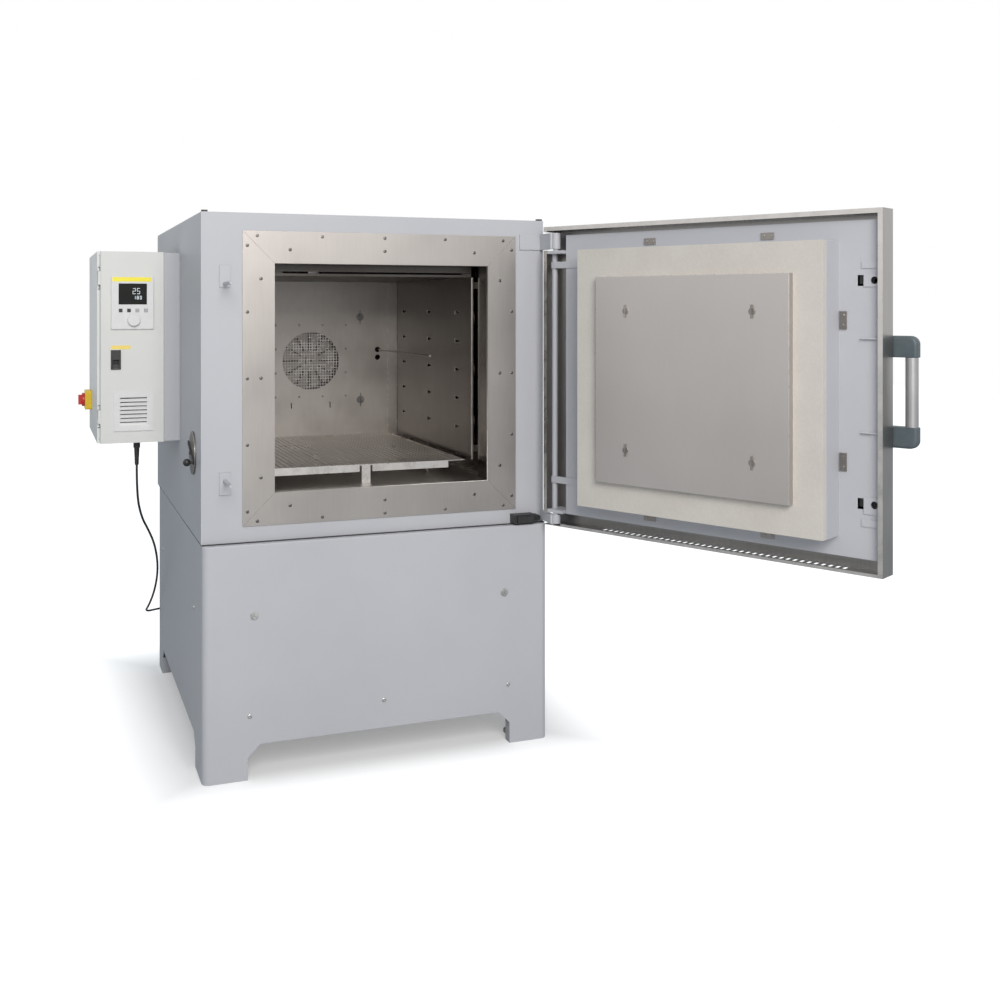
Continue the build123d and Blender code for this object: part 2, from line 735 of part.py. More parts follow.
# Control box on a channel bracket at the left wall.
box_front = casing_front + 470
box_rear = casing_front + 470 + box_depth
box_right = -casing_half - 46
box_left = box_right - box_width
hinge_gap = 8
panel_left = box_left + hinge_gap
box_base = stand_height + 228
box_top = box_base + box_height
box_sheet = 2
panel_depth = 8
panel_gap = 12
housing_front = box_front + panel_depth + panel_gap
bracket_wall = 3
with BuildPart() as box_bracket:
    block(box_right, -casing_half, box_front + 2, box_rear - 20, box_base + 2, box_top - 2)
    block(
        box_right - 1, -casing_half - bracket_wall, box_front + 2 + bracket_wall, box_rear - 20 - bracket_wall,
        box_base, box_top, Mode.SUBTRACT,
    )
    # Flanges that the box is screwed to.
    for y0, y1 in ((box_front + 5, housing_front + 30), (box_rear - 53, box_rear - 23)):
        block(box_right, box_right + bracket_wall, y0, y1, box_base + 2, box_top - 2)
save(box_bracket, "box_bracket")

relief_x = panel_left + 109
relief_y = casing_front + 520
switch_y = casing_front + 850
switch_z = stand_height + 333
switch_shaft = 5
hinge_pin = 2
knuckle = 3.5
box_hinge_x = box_left + 5
box_hinge_y = housing_front + 3
with BuildPart() as box_housing:
    block(box_left, box_right, housing_front, box_rear, box_base, box_top)
    block(
        box_left + box_sheet, box_right - box_sheet, housing_front - 1, box_rear - box_sheet,
        box_base + box_sheet, box_top - box_sheet, Mode.SUBTRACT,
    )
    rod_x(switch_y, switch_z, box_left - 1, box_left + box_sheet + 1, switch_shaft + 3, Mode.SUBTRACT)
    rod_z(relief_x, relief_y, box_base - 1, box_base + box_sheet + 1, 7 + seat_gap, Mode.SUBTRACT)
    # A gutter around the mouth, set back from the front panel.
    block(
        box_left + box_sheet, box_right - box_sheet, housing_front, housing_front + 12, box_top - 12,
        box_top - 2,
    )
    block(
        box_left + box_sheet, box_right - box_sheet, housing_front, housing_front + 12, box_base + 2,
        box_base + 12,
    )
    # Pins and lugs for the front panel's hinges, and a notch that lets each leaf swing out.
    for z in (box_base + 60, box_top - 100):
        block(
            box_left - 1, box_left + box_sheet + 1, housing_front - 1, box_hinge_y + 6, z - 0.5,
            z + 40.5, Mode.SUBTRACT,
        )
        rod_z(box_hinge_x, box_hinge_y, z - 12, z + 52, hinge_pin)
        for z0 in (z - 12, z + 41):
            rod_z(box_hinge_x, box_hinge_y, z0, z0 + 11, knuckle)
            block(box_left + box_sheet, box_hinge_x + knuckle, box_hinge_y, housing_front + 24, z0, z0 + 11)
save(box_housing, "box_housing")

# Front panel of the box, a little narrower than the housing. It carries the controls and swings on
# its left edge.
control_left = panel_left + 30
control_right = panel_left + 155
control_top = box_base + 501
control_base = box_base + 341
control_proud = 7
vent_left = panel_left + 37
vent_right = panel_left + 154
vent_base = box_base + 36
vent_top = box_base + 153
rocker_left = panel_left + 30
rocker_right = panel_left + 59
rocker_base = box_base + 221
rocker_top = box_base + 280
with BuildPart() as box_panel:
    block(panel_left, box_right, box_front, box_front + panel_depth, box_base, box_top)
    fillet(box_panel.edges().filter_by(Axis.Z).group_by(Axis.Y)[0], 4)
    block(
        panel_left + box_sheet, box_right - box_sheet, box_front + box_sheet, box_front + panel_depth + 1,
        box_base + box_sheet, box_top - box_sheet, Mode.SUBTRACT,
    )
    block(
        control_left + 10, control_right - 10, box_front - 1, box_front + box_sheet + 1,
        control_base + 10, control_top - 10, Mode.SUBTRACT,
    )
    block(
        vent_left + 10, vent_right - 10, box_front - 1, box_front + box_sheet + 1,
        vent_base + 10, vent_top - 10, Mode.SUBTRACT,
    )
    block(
        rocker_left + 3, rocker_right - 3, box_front - 1, box_front + box_sheet + 1,
        rocker_base + 3, rocker_top - 3, Mode.SUBTRACT,
    )
    # Hinge leaf knuckles that reach back to the pins in the housing.
    for z in (box_base + 60, box_top - 100):
        block(box_left + box_sheet, panel_left + 4, box_front + box_sheet, box_hinge_y, z, z + 40)
        rod_z(box_hinge_x, box_hinge_y, z, z + 40, knuckle)
        rod_z(box_hinge_x, box_hinge_y, z - 1, z + 41, hinge_pin + running_gap, Mode.SUBTRACT)
save(box_panel, "box_panel")

# Controller: a framed unit with a screen, four keys and a turning knob.
screen_left = panel_left + 52
screen_right = panel_left + 134
screen_base = box_base + 416
screen_top = box_base + 479
control_face = box_front - control_proud
key_xs = (panel_left + 58, panel_left + 82, panel_left + 106, panel_left + 131)
key_z = box_base + 398
key_half = 5
dial_x = panel_left + 96
dial_z = box_base + 370
dial_radius = 18.5
dial_shaft = 3
with BuildPart() as controller:
    block(control_left, control_right, control_face, box_front, control_base, control_top)
    fillet(controller.edges().filter_by(Axis.Y), 4)
    chamfer(controller.faces().sort_by(Axis.Y)[0].edges(), 2)
    block(
        control_left + 10.3, control_right - 10.3, box_front, box_front + 60,
        control_base + 10.3, control_top - 10.3,
    )
    block(
        screen_left, screen_right, control_face - 1, control_face + 3, screen_base, screen_top,
        Mode.SUBTRACT,
    )
    for x in key_xs:
        block(
            x - key_half - 0.4, x + key_half + 0.4, control_face - 1, control_face + 6,
            key_z - key_half - 0.4, key_z + key_half + 0.4, Mode.SUBTRACT,
        )
    rod_y(dial_x, dial_z, control_face - 1, control_face + 10, dial_shaft + running_gap, Mode.SUBTRACT)
save(controller, "controller")

with BuildPart() as screen:
    block(
        screen_left + 0.3, screen_right - 0.3, control_face + 0.5, control_face + 3,
        screen_base + 0.3, screen_top - 0.3,
    )
save(screen, "screen")

for number, x in enumerate(key_xs, start=1):
    with BuildPart() as key:
        block(
            x - key_half, x + key_half, control_face - 1.5, control_face + 3.5,
            key_z - key_half, key_z + key_half,
        )
        fillet(key.faces().sort_by(Axis.Y)[0].edges(), 1)
    save(key, f"key_{number}")

with BuildPart() as dial:
    rod_y(dial_x, dial_z, control_face - 13, control_face - 0.5, dial_radius)
    fillet(dial.faces().sort_by(Axis.Y)[0].edges(), 2)
    rod_y(dial_x, dial_z, control_face - 0.5, control_face + 9, dial_shaft)
    # A small finger mark on the face.
    rod_y(dial_x + 12, dial_z, control_face - 14, control_face - 12.4, 2, Mode.SUBTRACT)
save(dial, "dial")

# Rocker switch: frame with a fixed white half and a black half that tips.
rocker_split = rocker_base + 30
rocker_axis_z = rocker_base + 15.5
rocker_axis_y = box_front + 3
with BuildPart() as rocker_frame:
    block(rocker_left, rocker_right, box_front - 3, box_front, rocker_base, rocker_top)
    block(
        rocker_left + 3.3, rocker_right - 3.3, box_front, box_front + 22, rocker_base + 3.3,
        rocker_top - 3.3,
    )
    block(
        rocker_left + 5, rocker_right - 5, box_front - 4, box_front + 18,
        rocker_base + 2.5, rocker_split - 1, Mode.SUBTRACT,
    )
    rod_x(
        rocker_axis_y, rocker_axis_z, rocker_left + 3.4, rocker_right - 3.4, 1.5 + running_gap,
        Mode.SUBTRACT,
    )
save(rocker_frame, "rocker_frame")

with BuildPart() as rocker:
    with BuildSketch(Plane.YZ.offset(rocker_left + 6)):
        Polygon(
            (box_front - 6.5, rocker_axis_z + 11),
            (box_front - 3.5, rocker_axis_z),
            (box_front - 3.8, rocker_axis_z - 11),
            (box_front + 5, rocker_axis_z - 9),
            (box_front + 9, rocker_axis_z),
            (box_front + 5, rocker_axis_z + 9),
            align=None,
        )
    extrude(amount=rocker_right - rocker_left - 12)
    rod_x(rocker_axis_y, rocker_axis_z, rocker_left + 3.6, rocker_right - 3.6, 1.5)
save(rocker, "rocker")

# Louvred vent low on the panel.
louvre_count = 7
louvre_pitch = 12
louvre_side = 20
louvre_end = 16.5
with BuildPart() as vent:
    block(vent_left, vent_right, box_front - 4, box_front, vent_base, vent_top)
    block(
        vent_left + 10.3, vent_right - 10.3, box_front, box_front + 14,
        vent_base + 10.3, vent_top - 10.3,
    )
    block(
        vent_left + louvre_side, vent_right - louvre_side, box_front - 5, box_front + 15,
        vent_base + louvre_end, vent_top - louvre_end, Mode.SUBTRACT,
    )
    for number in range(louvre_count):
        louvre_z = vent_base + louvre_end + number * louvre_pitch
        with BuildSketch(Plane.YZ.offset(vent_left + louvre_side - 2)):
            Polygon(
                (box_front - 4, louvre_z),
                (box_front - 2.5, louvre_z - 1),
                (box_front + 3, louvre_z + 8.5),
                (box_front + 1.5, louvre_z + 8.5),
                align=None,
            )
        extrude(amount=vent_right - vent_left - 2 * louvre_side + 4)
save(vent, "vent")

# Main switch on the outer side of the box.
switch_half = 31
switch_plate_thick = 21
switch_face = box_left - switch_plate_thick
with BuildPart() as switch_plate:
    block(
        switch_face, box_left, switch_y - switch_half, switch_y + switch_half,
        switch_z - switch_half, switch_z + switch_half,
    )
    fillet(switch_plate.edges().filter_by(Axis.X), 5)
    rod_x(switch_y, switch_z, box_left, box_left + 40, switch_shaft + 2.5)
    rod_x(switch_y, switch_z, switch_face - 1, box_left + 20, switch_shaft + running_gap, Mode.SUBTRACT)
save(switch_plate, "switch_plate")

with BuildPart() as switch_handle:
    rod_x(switch_y, switch_z, switch_face - 9, switch_face - 0.5, 22)
    fillet(switch_handle.faces().sort_by(Axis.X)[0].edges(), 2)
    block(switch_face - 20, switch_face - 8, switch_y - 6, switch_y + 6, switch_z - 16, switch_z + 16)
    rod_x(switch_y, switch_z, switch_face - 0.5, box_left + 18, switch_shaft)
save(switch_handle, "switch_handle")

# Strain relief under the box, where the supply lead leaves.
relief_length = 73
relief_end = box_base - relief_length
lead_radius = 3.5
relief_ribs = 5
with BuildPart() as strain_relief:
    with BuildSketch(Plane.XZ.offset(-relief_y)):
        with BuildLine():
            Polyline(
                (relief_x, relief_end), (relief_x + 5.5, relief_end), (relief_x + 8, box_base - 22),
                (relief_x + 10, box_base - 20), (relief_x + 10, box_base), (relief_x + 7, box_base),
                (relief_x + 7, box_base + 18), (relief_x, box_base + 18), close=True,
            )
        make_face()
    revolve(axis=Axis((relief_x, relief_y, 0), (0, 0, 1)))
    for rib in range(relief_ribs):
        rib_z = relief_end + 6 + 9 * rib
        with Locations((relief_x, relief_y, rib_z)):
            Torus(6.2, 0.9)
save(strain_relief, "strain_relief")

# Supply lead from the box to a gland on the back of the stand.
gland_length = 26
lead_drop = relief_end - gland_z
lead_points = [
    (relief_x, relief_y, relief_end),
    (relief_x, relief_y, gland_z + 0.849 * lead_drop),
    (relief_x + 18, casing_front + 575, gland_z + 0.723 * lead_drop),
    (relief_x + 46, casing_front + 642, gland_z + 0.632 * lead_drop),
    (relief_x + 69, casing_front + 712, gland_z + 0.545 * lead_drop),
    (relief_x + 85, casing_front + 782, gland_z + 0.452 * lead_drop),
    (relief_x + 95, casing_front + 852, gland_z + 0.357 * lead_drop),
    (relief_x + 98, casing_front + 922, gland_z + 0.260 * lead_drop),
    (relief_x + 95, casing_front + 992, gland_z + 0.164 * lead_drop),
    (relief_x + 86, casing_front + 1063, gland_z + 0.070 * lead_drop),
    (relief_x + 78, casing_front + 1141, gland_z),
    (relief_x + 136, casing_front + 1203, gland_z - 8),
    (gland_x, casing_front + 1203, gland_z),
    (gland_x, stand_rear + sheet + gland_length, gland_z),
]
lead_radii = []
for before, corner, after in zip(lead_points, lead_points[1:], lead_points[2:]):
    run_in = Vector(*corner) - Vector(*before)
    run_out = Vector(*after) - Vector(*corner)
    turn = radians(run_in.get_angle(run_out))
    lead_radii.append(0.45 * min(run_in.length, run_out.length) / tan(turn / 2))
print("lead bend radii", [round(radius) for radius in lead_radii])

with BuildPart() as supply_lead:
    with BuildLine() as lead_path:
        FilletPolyline(*lead_points, radius=lead_radii)
    with BuildSketch(Plane(origin=lead_path.line @ 0, z_dir=lead_path.line % 0)):
        Circle(lead_radius)
    sweep(path=lead_path.wires()[0])
save(supply_lead, "supply_lead")
lead_length = lead_path.wires()[0].length
print("lead length", round(lead_length, 1))
lead_share = supply_lead.part.volume / (pi * lead_radius**2 * lead_length)
print("lead volume against section times length", lead_share)

with BuildPart() as rear_gland:
    rod_y(gland_x, gland_z, stand_rear - 20, stand_rear + sheet, gland_hole)
    with BuildSketch(Plane.XZ.offset(-stand_rear - sheet)):
        with Locations((gland_x, gland_z)):
            RegularPolygon(13, 6)
    extrude(amount=-8)
    rod_y(gland_x, gland_z, stand_rear + sheet + 8, stand_rear + sheet + gland_length, 9)
save(rear_gland, "rear_gland")

# Door. It is drawn closed and then turned about the hinge line to its open rest pose.
# Along the door runs u, from the hinge-side edge; q counts from the lip towards the chamber.
plug_u = casing_half + 30
hinge_edge = opening_x + plug_u
lip_plane = casing_front - door_gap
door_base = stand_height + 3.5
door_top = door_base + door_height
hinge_u = 36.6
hinge_q = -12.1
hinge_x = hinge_edge - hinge_u
hinge_y = lip_plane + hinge_q
hinge_axis = Axis((hinge_x, hinge_y, 0), (0, 0, 1))
skin = 2
lip = 12
low_lip = 8


def door_block(u0, u1, q0, q1, z0, z1, mode=Mode.ADD):
    """A box in the closed door's own measures."""
    block(hinge_edge - u1, hinge_edge - u0, lip_plane + q0, lip_plane + q1, z0, z1, mode)


def door_rod(u, z, q0, q1, radius, mode=Mode.ADD):
    """A cylinder square to the closed door."""
    rod_y(hinge_edge - u, z, lip_plane + q0, lip_plane + q1, radius, mode)


def save_door(builder, name):
    """Turns a closed door piece to the rest pose and writes its file."""
    opened = builder.part.rotate(hinge_axis, door_open_deg)
    opened.label = name
    export_step(opened, f"parts/{name}.step")


# Bracket heights shared by the door's cut-outs and the hinge brackets.
top_arm_base = casing_top - 87
top_arm_top = casing_top - 41
low_arm_base = stand_height + 9
low_arm_top = stand_height + 35
slot_first = 180
slot_last = door_width - 114
slot_length = 11
slot_width = 26
slot_back = -61
slot_step = 18.6
pan_u0 = 67
pan_u1 = door_width - 15
pan_q = -20
pan_base = door_base + 35.5
pan_top = door_top - 25.5
stud_u = door_width - 27
stud_zs = (opening_z + 256.5, opening_z - 273.5)
stud_radius = 5
stud_hole = 9
hook_u = door_width - 47
hook_pin = 3
handle_low = stand_height + 354
handle_high = stand_height + 518

with BuildPart() as door_shell:
    door_block(0, door_width, -door_depth, 0, door_base, door_top)
    fillet(door_shell.edges().filter_by(Axis.Z).group_by(Axis.Y)[0], 6)
    door_block(
        skin, door_width - skin, -door_depth + skin, -skin, door_base + skin, door_top - skin, Mode.SUBTRACT,
    )
    door_block(lip, door_width - lip, -skin - 1, 1, door_base + low_lip, door_top - lip, Mode.SUBTRACT)
    # Cooling slots along the top and bottom edges.
    slot_u = slot_first
    while slot_u < slot_last:
        door_block(
            slot_u, slot_u + slot_length, slot_back, slot_back + slot_width, door_base - 1,
            door_top + 1, Mode.SUBTRACT,
        )
        slot_u += slot_step
    # Room for the fixed hinge arms as the door swings.
    door_block(-1, lip + 1, -50, 1, top_arm_base - 4, top_arm_top + 4, Mode.SUBTRACT)
    door_block(-1, 62, -50, 1, door_base + skin, low_arm_top + 4, Mode.SUBTRACT)
save_door(door_shell, "door_shell")

with BuildPart() as door_pan:
    door_block(pan_u0, pan_u1, -door_depth + skin, pan_q, pan_base, pan_top)
    door_block(
        pan_u0 + 1.5, pan_u1 + 1, -door_depth, pan_q - 1.5, pan_base + 1.5, pan_top - 1.5, Mode.SUBTRACT,
    )
    # A folded rim that joins the free edge of the shell.
    door_block(pan_u1 - 1.5, door_width - skin, -door_depth + skin, pan_q, pan_base, pan_top)
    door_block(pan_u1, door_width, -door_depth, pan_q - 1.5, pan_base + 1.5, pan_top - 1.5, Mode.SUBTRACT)
    for z in stud_zs:
        door_rod(stud_u, z, pan_q - 3, pan_q + 1, stud_hole, Mode.SUBTRACT)
        door_rod(hook_u, z, pan_q - 3, pan_q + 1, hook_pin, Mode.SUBTRACT)
    # Ribs carry the pull of the handle across the pan.
    for z0 in (handle_low - 16, handle_high + 43):
        door_block(pan_u1 - 44, door_width - skin, pan_q, pan_q + 8, z0, z0 + 3)
    # Windows over the tails of the latch hooks.
    for z in stud_zs:
        door_block(hook_u - 22, hook_u - 7, pan_q - 3, pan_q + 1, z - 13, z + 13, Mode.SUBTRACT)
save_door(door_pan, "door_pan")

block_half_u = opening_half + 46
block_half_z = opening_half + 42.5
block_face = door_gap - ring_thick - 0.5
plug_half_u = opening_half - 29.5
plug_half_z = opening_half - 34.5
plug_face = block_face + 19.5
board_thick = 18
case_wall = 1.5
core_z = opening_z - 2.5
board_back = block_face - board_thick
with BuildPart() as door_case:
    door_block(
        plug_u - block_half_u, plug_u + block_half_u, pan_q, board_back,
        core_z - block_half_z, core_z + block_half_z,
    )
    door_block(
        plug_u - block_half_u + case_wall, plug_u + block_half_u - case_wall, pan_q - 1, board_back + 1,
        core_z - block_half_z + case_wall, core_z + block_half_z - case_wall, Mode.SUBTRACT,
    )
save_door(door_case, "door_case")

with BuildPart() as fibre_block:
    door_block(
        plug_u - block_half_u + case_wall, plug_u + block_half_u - case_wall, pan_q, board_back,
        core_z - block_half_z + case_wall, core_z + block_half_z - case_wall,
    )
    door_block(
        plug_u - block_half_u, plug_u + block_half_u, board_back, block_face,
        core_z - block_half_z, core_z + block_half_z,
    )
save_door(fibre_block, "door_block")

with BuildPart() as door_plug:
    door_block(
        plug_u - plug_half_u, plug_u + plug_half_u, block_face, plug_face,
        core_z - plug_half_z, core_z + plug_half_z,
    )
save_door(door_plug, "door_plug")

# Clips: four anchors on the plug's face and strips that hold the block on the pan.
anchor_step = 185
anchor_washer = 9
strip_z = block_half_z + 16.5
strip_u = plug_u + block_half_u + 11.5
strip_spots = (
    (plug_u - 177, strip_z), (plug_u + 172, strip_z), (strip_u, 161.5),
    (strip_u, -178.5), (plug_u - 177, -strip_z - 8), (plug_u + 172, -strip_z - 8),
)
with BuildPart() as door_clips:
    for du in (-anchor_step, anchor_step):
        for dz in (-anchor_step, anchor_step):
            door_rod(plug_u + du, core_z + dz, plug_face, plug_face + 1.5, anchor_washer)
            door_block(
                plug_u + du - 1.5, plug_u + du + 1.5, plug_face, plug_face + 6,
                core_z + dz - 17, core_z + dz + 17,
            )
    for u, dz in strip_spots:
        half_u = 9 if u == strip_u else 18
        half_z = 22 if u == strip_u else 9
        door_block(
            u - half_u, u + half_u, pan_q, pan_q + 3, opening_z + dz - half_z, opening_z + dz + half_z,
        )
        for side in (-1, 1):
            screw_u = u + side * 10 if half_u > half_z else u
            screw_z = opening_z + dz + (0 if half_u > half_z else side * 12)
            door_rod(screw_u, screw_z, pan_q + 3, pan_q + 5, 3.5)
save_door(door_clips, "door_clips")

# Hinge side of the door: arms that carry the pivot pins, straps and an upright bar.
arm_thick = 9
top_arm_z = top_arm_base - 4 - arm_thick - 1
low_arm_z = low_arm_top + 5
pin_radius = 8
bar_u = 20
bar_q = -28
strap_end = 110
with BuildPart() as door_hinges:
    for z0 in (top_arm_z, low_arm_z):
        door_block(bar_u - 9, pan_u0 - seat_gap, -38, -skin - 1, z0, z0 + arm_thick)
    rod_z(hinge_edge - bar_u, lip_plane + bar_q, low_arm_z + arm_thick, top_arm_z, 8)
    rod_z(hinge_x, hinge_y, top_arm_z + arm_thick, top_arm_top - 2, pin_radius)
    rod_z(hinge_x, hinge_y, low_arm_base + 2, low_arm_z, pin_radius)
    for z0 in (top_arm_z - 42, low_arm_z + arm_thick + 76):
        door_block(bar_u - 4, strap_end, pan_q, pan_q + 3, z0, z0 + 19)
        door_block(bar_u - 4, bar_u + 10, bar_q, pan_q, z0, z0 + 19)
    # Back stiffeners tie the arms to the shell.
    for z0 in (top_arm_z, low_arm_z):
        door_block(bar_u - 9, pan_u0 - seat_gap, -door_depth + skin, -38, z0, z0 + arm_thick)
save_door(door_hinges, "door_hinges")

# Fixed hinge brackets on the casing front.
arm_left = casing_half - 14
arm_right = casing_half - 1
knuckle_radius = 13
with BuildPart() as hinge_brackets:
    for z0, z1, reach in ((top_arm_base, top_arm_top, 77), (low_arm_base, low_arm_top, 17)):
        block(casing_half - reach, casing_half, casing_front - 5, casing_front, z0, z1)
        block(arm_left, arm_right, hinge_y, casing_front, z0, z1)
        rod_z(hinge_x, hinge_y, z0, z1, knuckle_radius)
        rod_z(hinge_x, hinge_y, z0 - 1, z1 + 1, pin_radius + running_gap, Mode.SUBTRACT)
save(hinge_brackets, "hinge_brackets")

# Door contact switch under the opening, at the hinge side.
contact_base = stand_height + 4
contact_left = casing_half - 107
with BuildPart() as door_switch:
    block(contact_left, contact_left + 65, casing_front - 34, casing_front, contact_base, contact_base + 26)
    block(
        contact_left + 9, contact_left + 57, casing_front - 40, casing_front - 34,
        contact_base + 3, contact_base + 23,
    )
    rod_y(contact_left + 78, contact_base + 13, casing_front - 26, casing_front, 9)
    block(
        contact_left + 65, contact_left + 79, casing_front - 22, casing_front - 12,
        contact_base + 6, contact_base + 20,
    )
save(door_switch, "door_switch")

# Keepers: brackets on the casing with studs that reach through the latch plates.
stud_x = hinge_edge - stud_u
stud_end = lip_plane - 36
neck_front = lip_plane - 32
neck_back = lip_plane - 24
neck_radius = 3.2
with BuildPart() as latch_keepers:
    for z, above, below in ((stud_zs[0], 50, 10), (stud_zs[1], 22, 38)):
        block(stud_x - 15, stud_x + 15, casing_front - 4, casing_front, z - below, z + above)
        rod_y(stud_x, z, neck_back, casing_front - 4, stud_radius)
        rod_y(stud_x, z, neck_front, neck_back, neck_radius)
        rod_y(stud_x, z, stud_end, neck_front, stud_radius)
save(latch_keepers, "latch_keepers")

# Latch hooks behind the pan: each swings on a pin and holds the stud by its neck.
hook_q0 = -30
hook_q1 = -27
hook_slot = neck_radius + 1
hook_back = 20
hook_names = ("latch_hook_upper", "latch_hook_lower")
# Latch plates on the free edge, with the hole that takes the keeper stud, and the hook pins.
with BuildPart() as latch_plates:
    for z, above, below in ((stud_zs[0], 14, 15), (stud_zs[1], 17, 23)):
        door_block(pan_u1 - 38, pan_u1, pan_q, pan_q + 3, z - below, z + above)
        door_rod(stud_u, z, pan_q - 1, pan_q + 4, stud_hole, Mode.SUBTRACT)
    for z0 in (stud_zs[0] + 29, stud_zs[1] - 53):
        door_block(pan_u1 - 43, pan_u1, pan_q, pan_q + 3, z0, z0 + 17)
    for z in stud_zs:
        door_rod(hook_u, z, hook_q0 - 0.5, pan_q, hook_pin)
        door_rod(hook_u, z, hook_q0 - 4, hook_q0 - 0.5, hook_pin + 3)
save_door(latch_plates, "latch_plates")

for name, z in zip(hook_names, stud_zs):
    with BuildPart() as latch_hook:
        door_block(hook_u - hook_back, stud_u + 8, hook_q0, hook_q1, z - 8, z + 12)
        fillet(latch_hook.edges().filter_by(Axis.Y), 3)
        # The jaw opens downwards, so the hook lifts off the neck.
        door_rod(stud_u, z, hook_q0 - 1, hook_q1 + 1, hook_slot, Mode.SUBTRACT)
        door_block(
            stud_u - hook_slot - 1, stud_u + hook_slot, hook_q0 - 1, hook_q1 + 1, z - 9, z,
            Mode.SUBTRACT,
        )
        door_rod(hook_u, z, hook_q0 - 1, hook_q1 + 1, hook_pin + running_gap, Mode.SUBTRACT)
    save_door(latch_hook, name)

# Handle: two moulded brackets on the door's skin reach past the free edge and hold a round tube.
bracket_deep = 28
handle_u = door_width + 37.5
handle_q = -door_depth - bracket_deep / 2
handle_radius = 15
handle_end = 51
foot_u = door_width - 38
grip_end = handle_u + 17
with BuildPart() as handle_brackets:
    for z0, z1, outer_z in (
        (handle_low - handle_end, handle_low, handle_low - handle_end),
        (handle_high, handle_high + handle_end, handle_high + handle_end),
    ):
        door_block(foot_u, grip_end, -door_depth - bracket_deep, -door_depth, z0, z1)
        outer_x = hinge_edge - grip_end
        corner = handle_brackets.edges().filter_by(Axis.Y).filter_by(
            lambda edge: abs(edge.center().X - outer_x) < 0.1 and abs(edge.center().Z - outer_z) < 0.1
        )
        fillet(corner, 20)
        uprights = handle_brackets.edges().filter_by(Axis.Z).filter_by(
            lambda edge: abs(edge.center().X - outer_x) < 0.1 and z0 < edge.center().Z < z1
        )
        fillet(uprights, 8)
save_door(handle_brackets, "handle_brackets")

with BuildPart() as handle_tube:
    rod_z(hinge_edge - handle_u, lip_plane + handle_q, handle_low, handle_high, handle_radius)
save_door(handle_tube, "handle_tube")

print("hinge axis", round(hinge_x, 2), round(hinge_y, 2))
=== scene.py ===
import json
import math

import bmesh
import bpy
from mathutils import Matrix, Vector


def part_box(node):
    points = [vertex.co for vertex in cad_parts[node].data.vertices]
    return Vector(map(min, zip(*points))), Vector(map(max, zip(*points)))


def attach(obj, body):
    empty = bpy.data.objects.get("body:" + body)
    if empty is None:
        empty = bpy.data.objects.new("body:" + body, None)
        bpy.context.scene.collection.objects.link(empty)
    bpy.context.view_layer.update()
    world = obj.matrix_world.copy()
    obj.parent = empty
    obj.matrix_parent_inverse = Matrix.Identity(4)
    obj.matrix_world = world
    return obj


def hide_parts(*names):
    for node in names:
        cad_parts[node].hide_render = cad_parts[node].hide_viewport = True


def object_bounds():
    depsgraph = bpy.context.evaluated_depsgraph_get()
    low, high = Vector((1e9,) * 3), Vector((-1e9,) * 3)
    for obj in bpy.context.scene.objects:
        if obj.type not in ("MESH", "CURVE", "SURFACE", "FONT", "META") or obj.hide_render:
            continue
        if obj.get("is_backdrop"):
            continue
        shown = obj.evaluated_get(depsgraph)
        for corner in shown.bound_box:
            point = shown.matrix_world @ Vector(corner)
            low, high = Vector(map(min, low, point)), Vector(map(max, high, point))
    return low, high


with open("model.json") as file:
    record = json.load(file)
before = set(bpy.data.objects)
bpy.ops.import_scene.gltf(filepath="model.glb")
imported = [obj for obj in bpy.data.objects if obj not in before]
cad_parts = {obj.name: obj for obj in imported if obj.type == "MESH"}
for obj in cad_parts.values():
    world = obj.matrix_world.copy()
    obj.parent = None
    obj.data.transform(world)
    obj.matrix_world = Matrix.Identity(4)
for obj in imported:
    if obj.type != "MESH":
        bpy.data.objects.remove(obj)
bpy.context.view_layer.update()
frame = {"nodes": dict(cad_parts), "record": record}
nodes = frame["nodes"]
scene = bpy.context.scene
collection = scene.collection

# Camera
# It stands left of the opening and a little above the chamber's middle, with a level line of
# sight, so upright edges stay upright and the picture is shifted instead of tilted.
camera_place = (-0.9186, -3.6414, 1.2712)
camera_turn = math.radians(-20.40)
focal_px = 1148.3
principal_px = 460.5
horizon_px = 306.1
picture_px = 1000
camera_data = bpy.data.cameras.new("camera")
camera_data.sensor_width = 36
camera_data.lens = focal_px / picture_px * camera_data.sensor_width
camera_data.shift_x = (picture_px / 2 - principal_px) / picture_px
camera_data.shift_y = (horizon_px - picture_px / 2) / picture_px
camera_data.clip_end = 60
camera = bpy.data.objects.new("camera", camera_data)
camera.location = camera_place
camera.rotation_euler = (math.radians(90), 0, camera_turn)
collection.objects.link(camera)
scene.camera = camera
scene.view_settings.view_transform = "Standard"

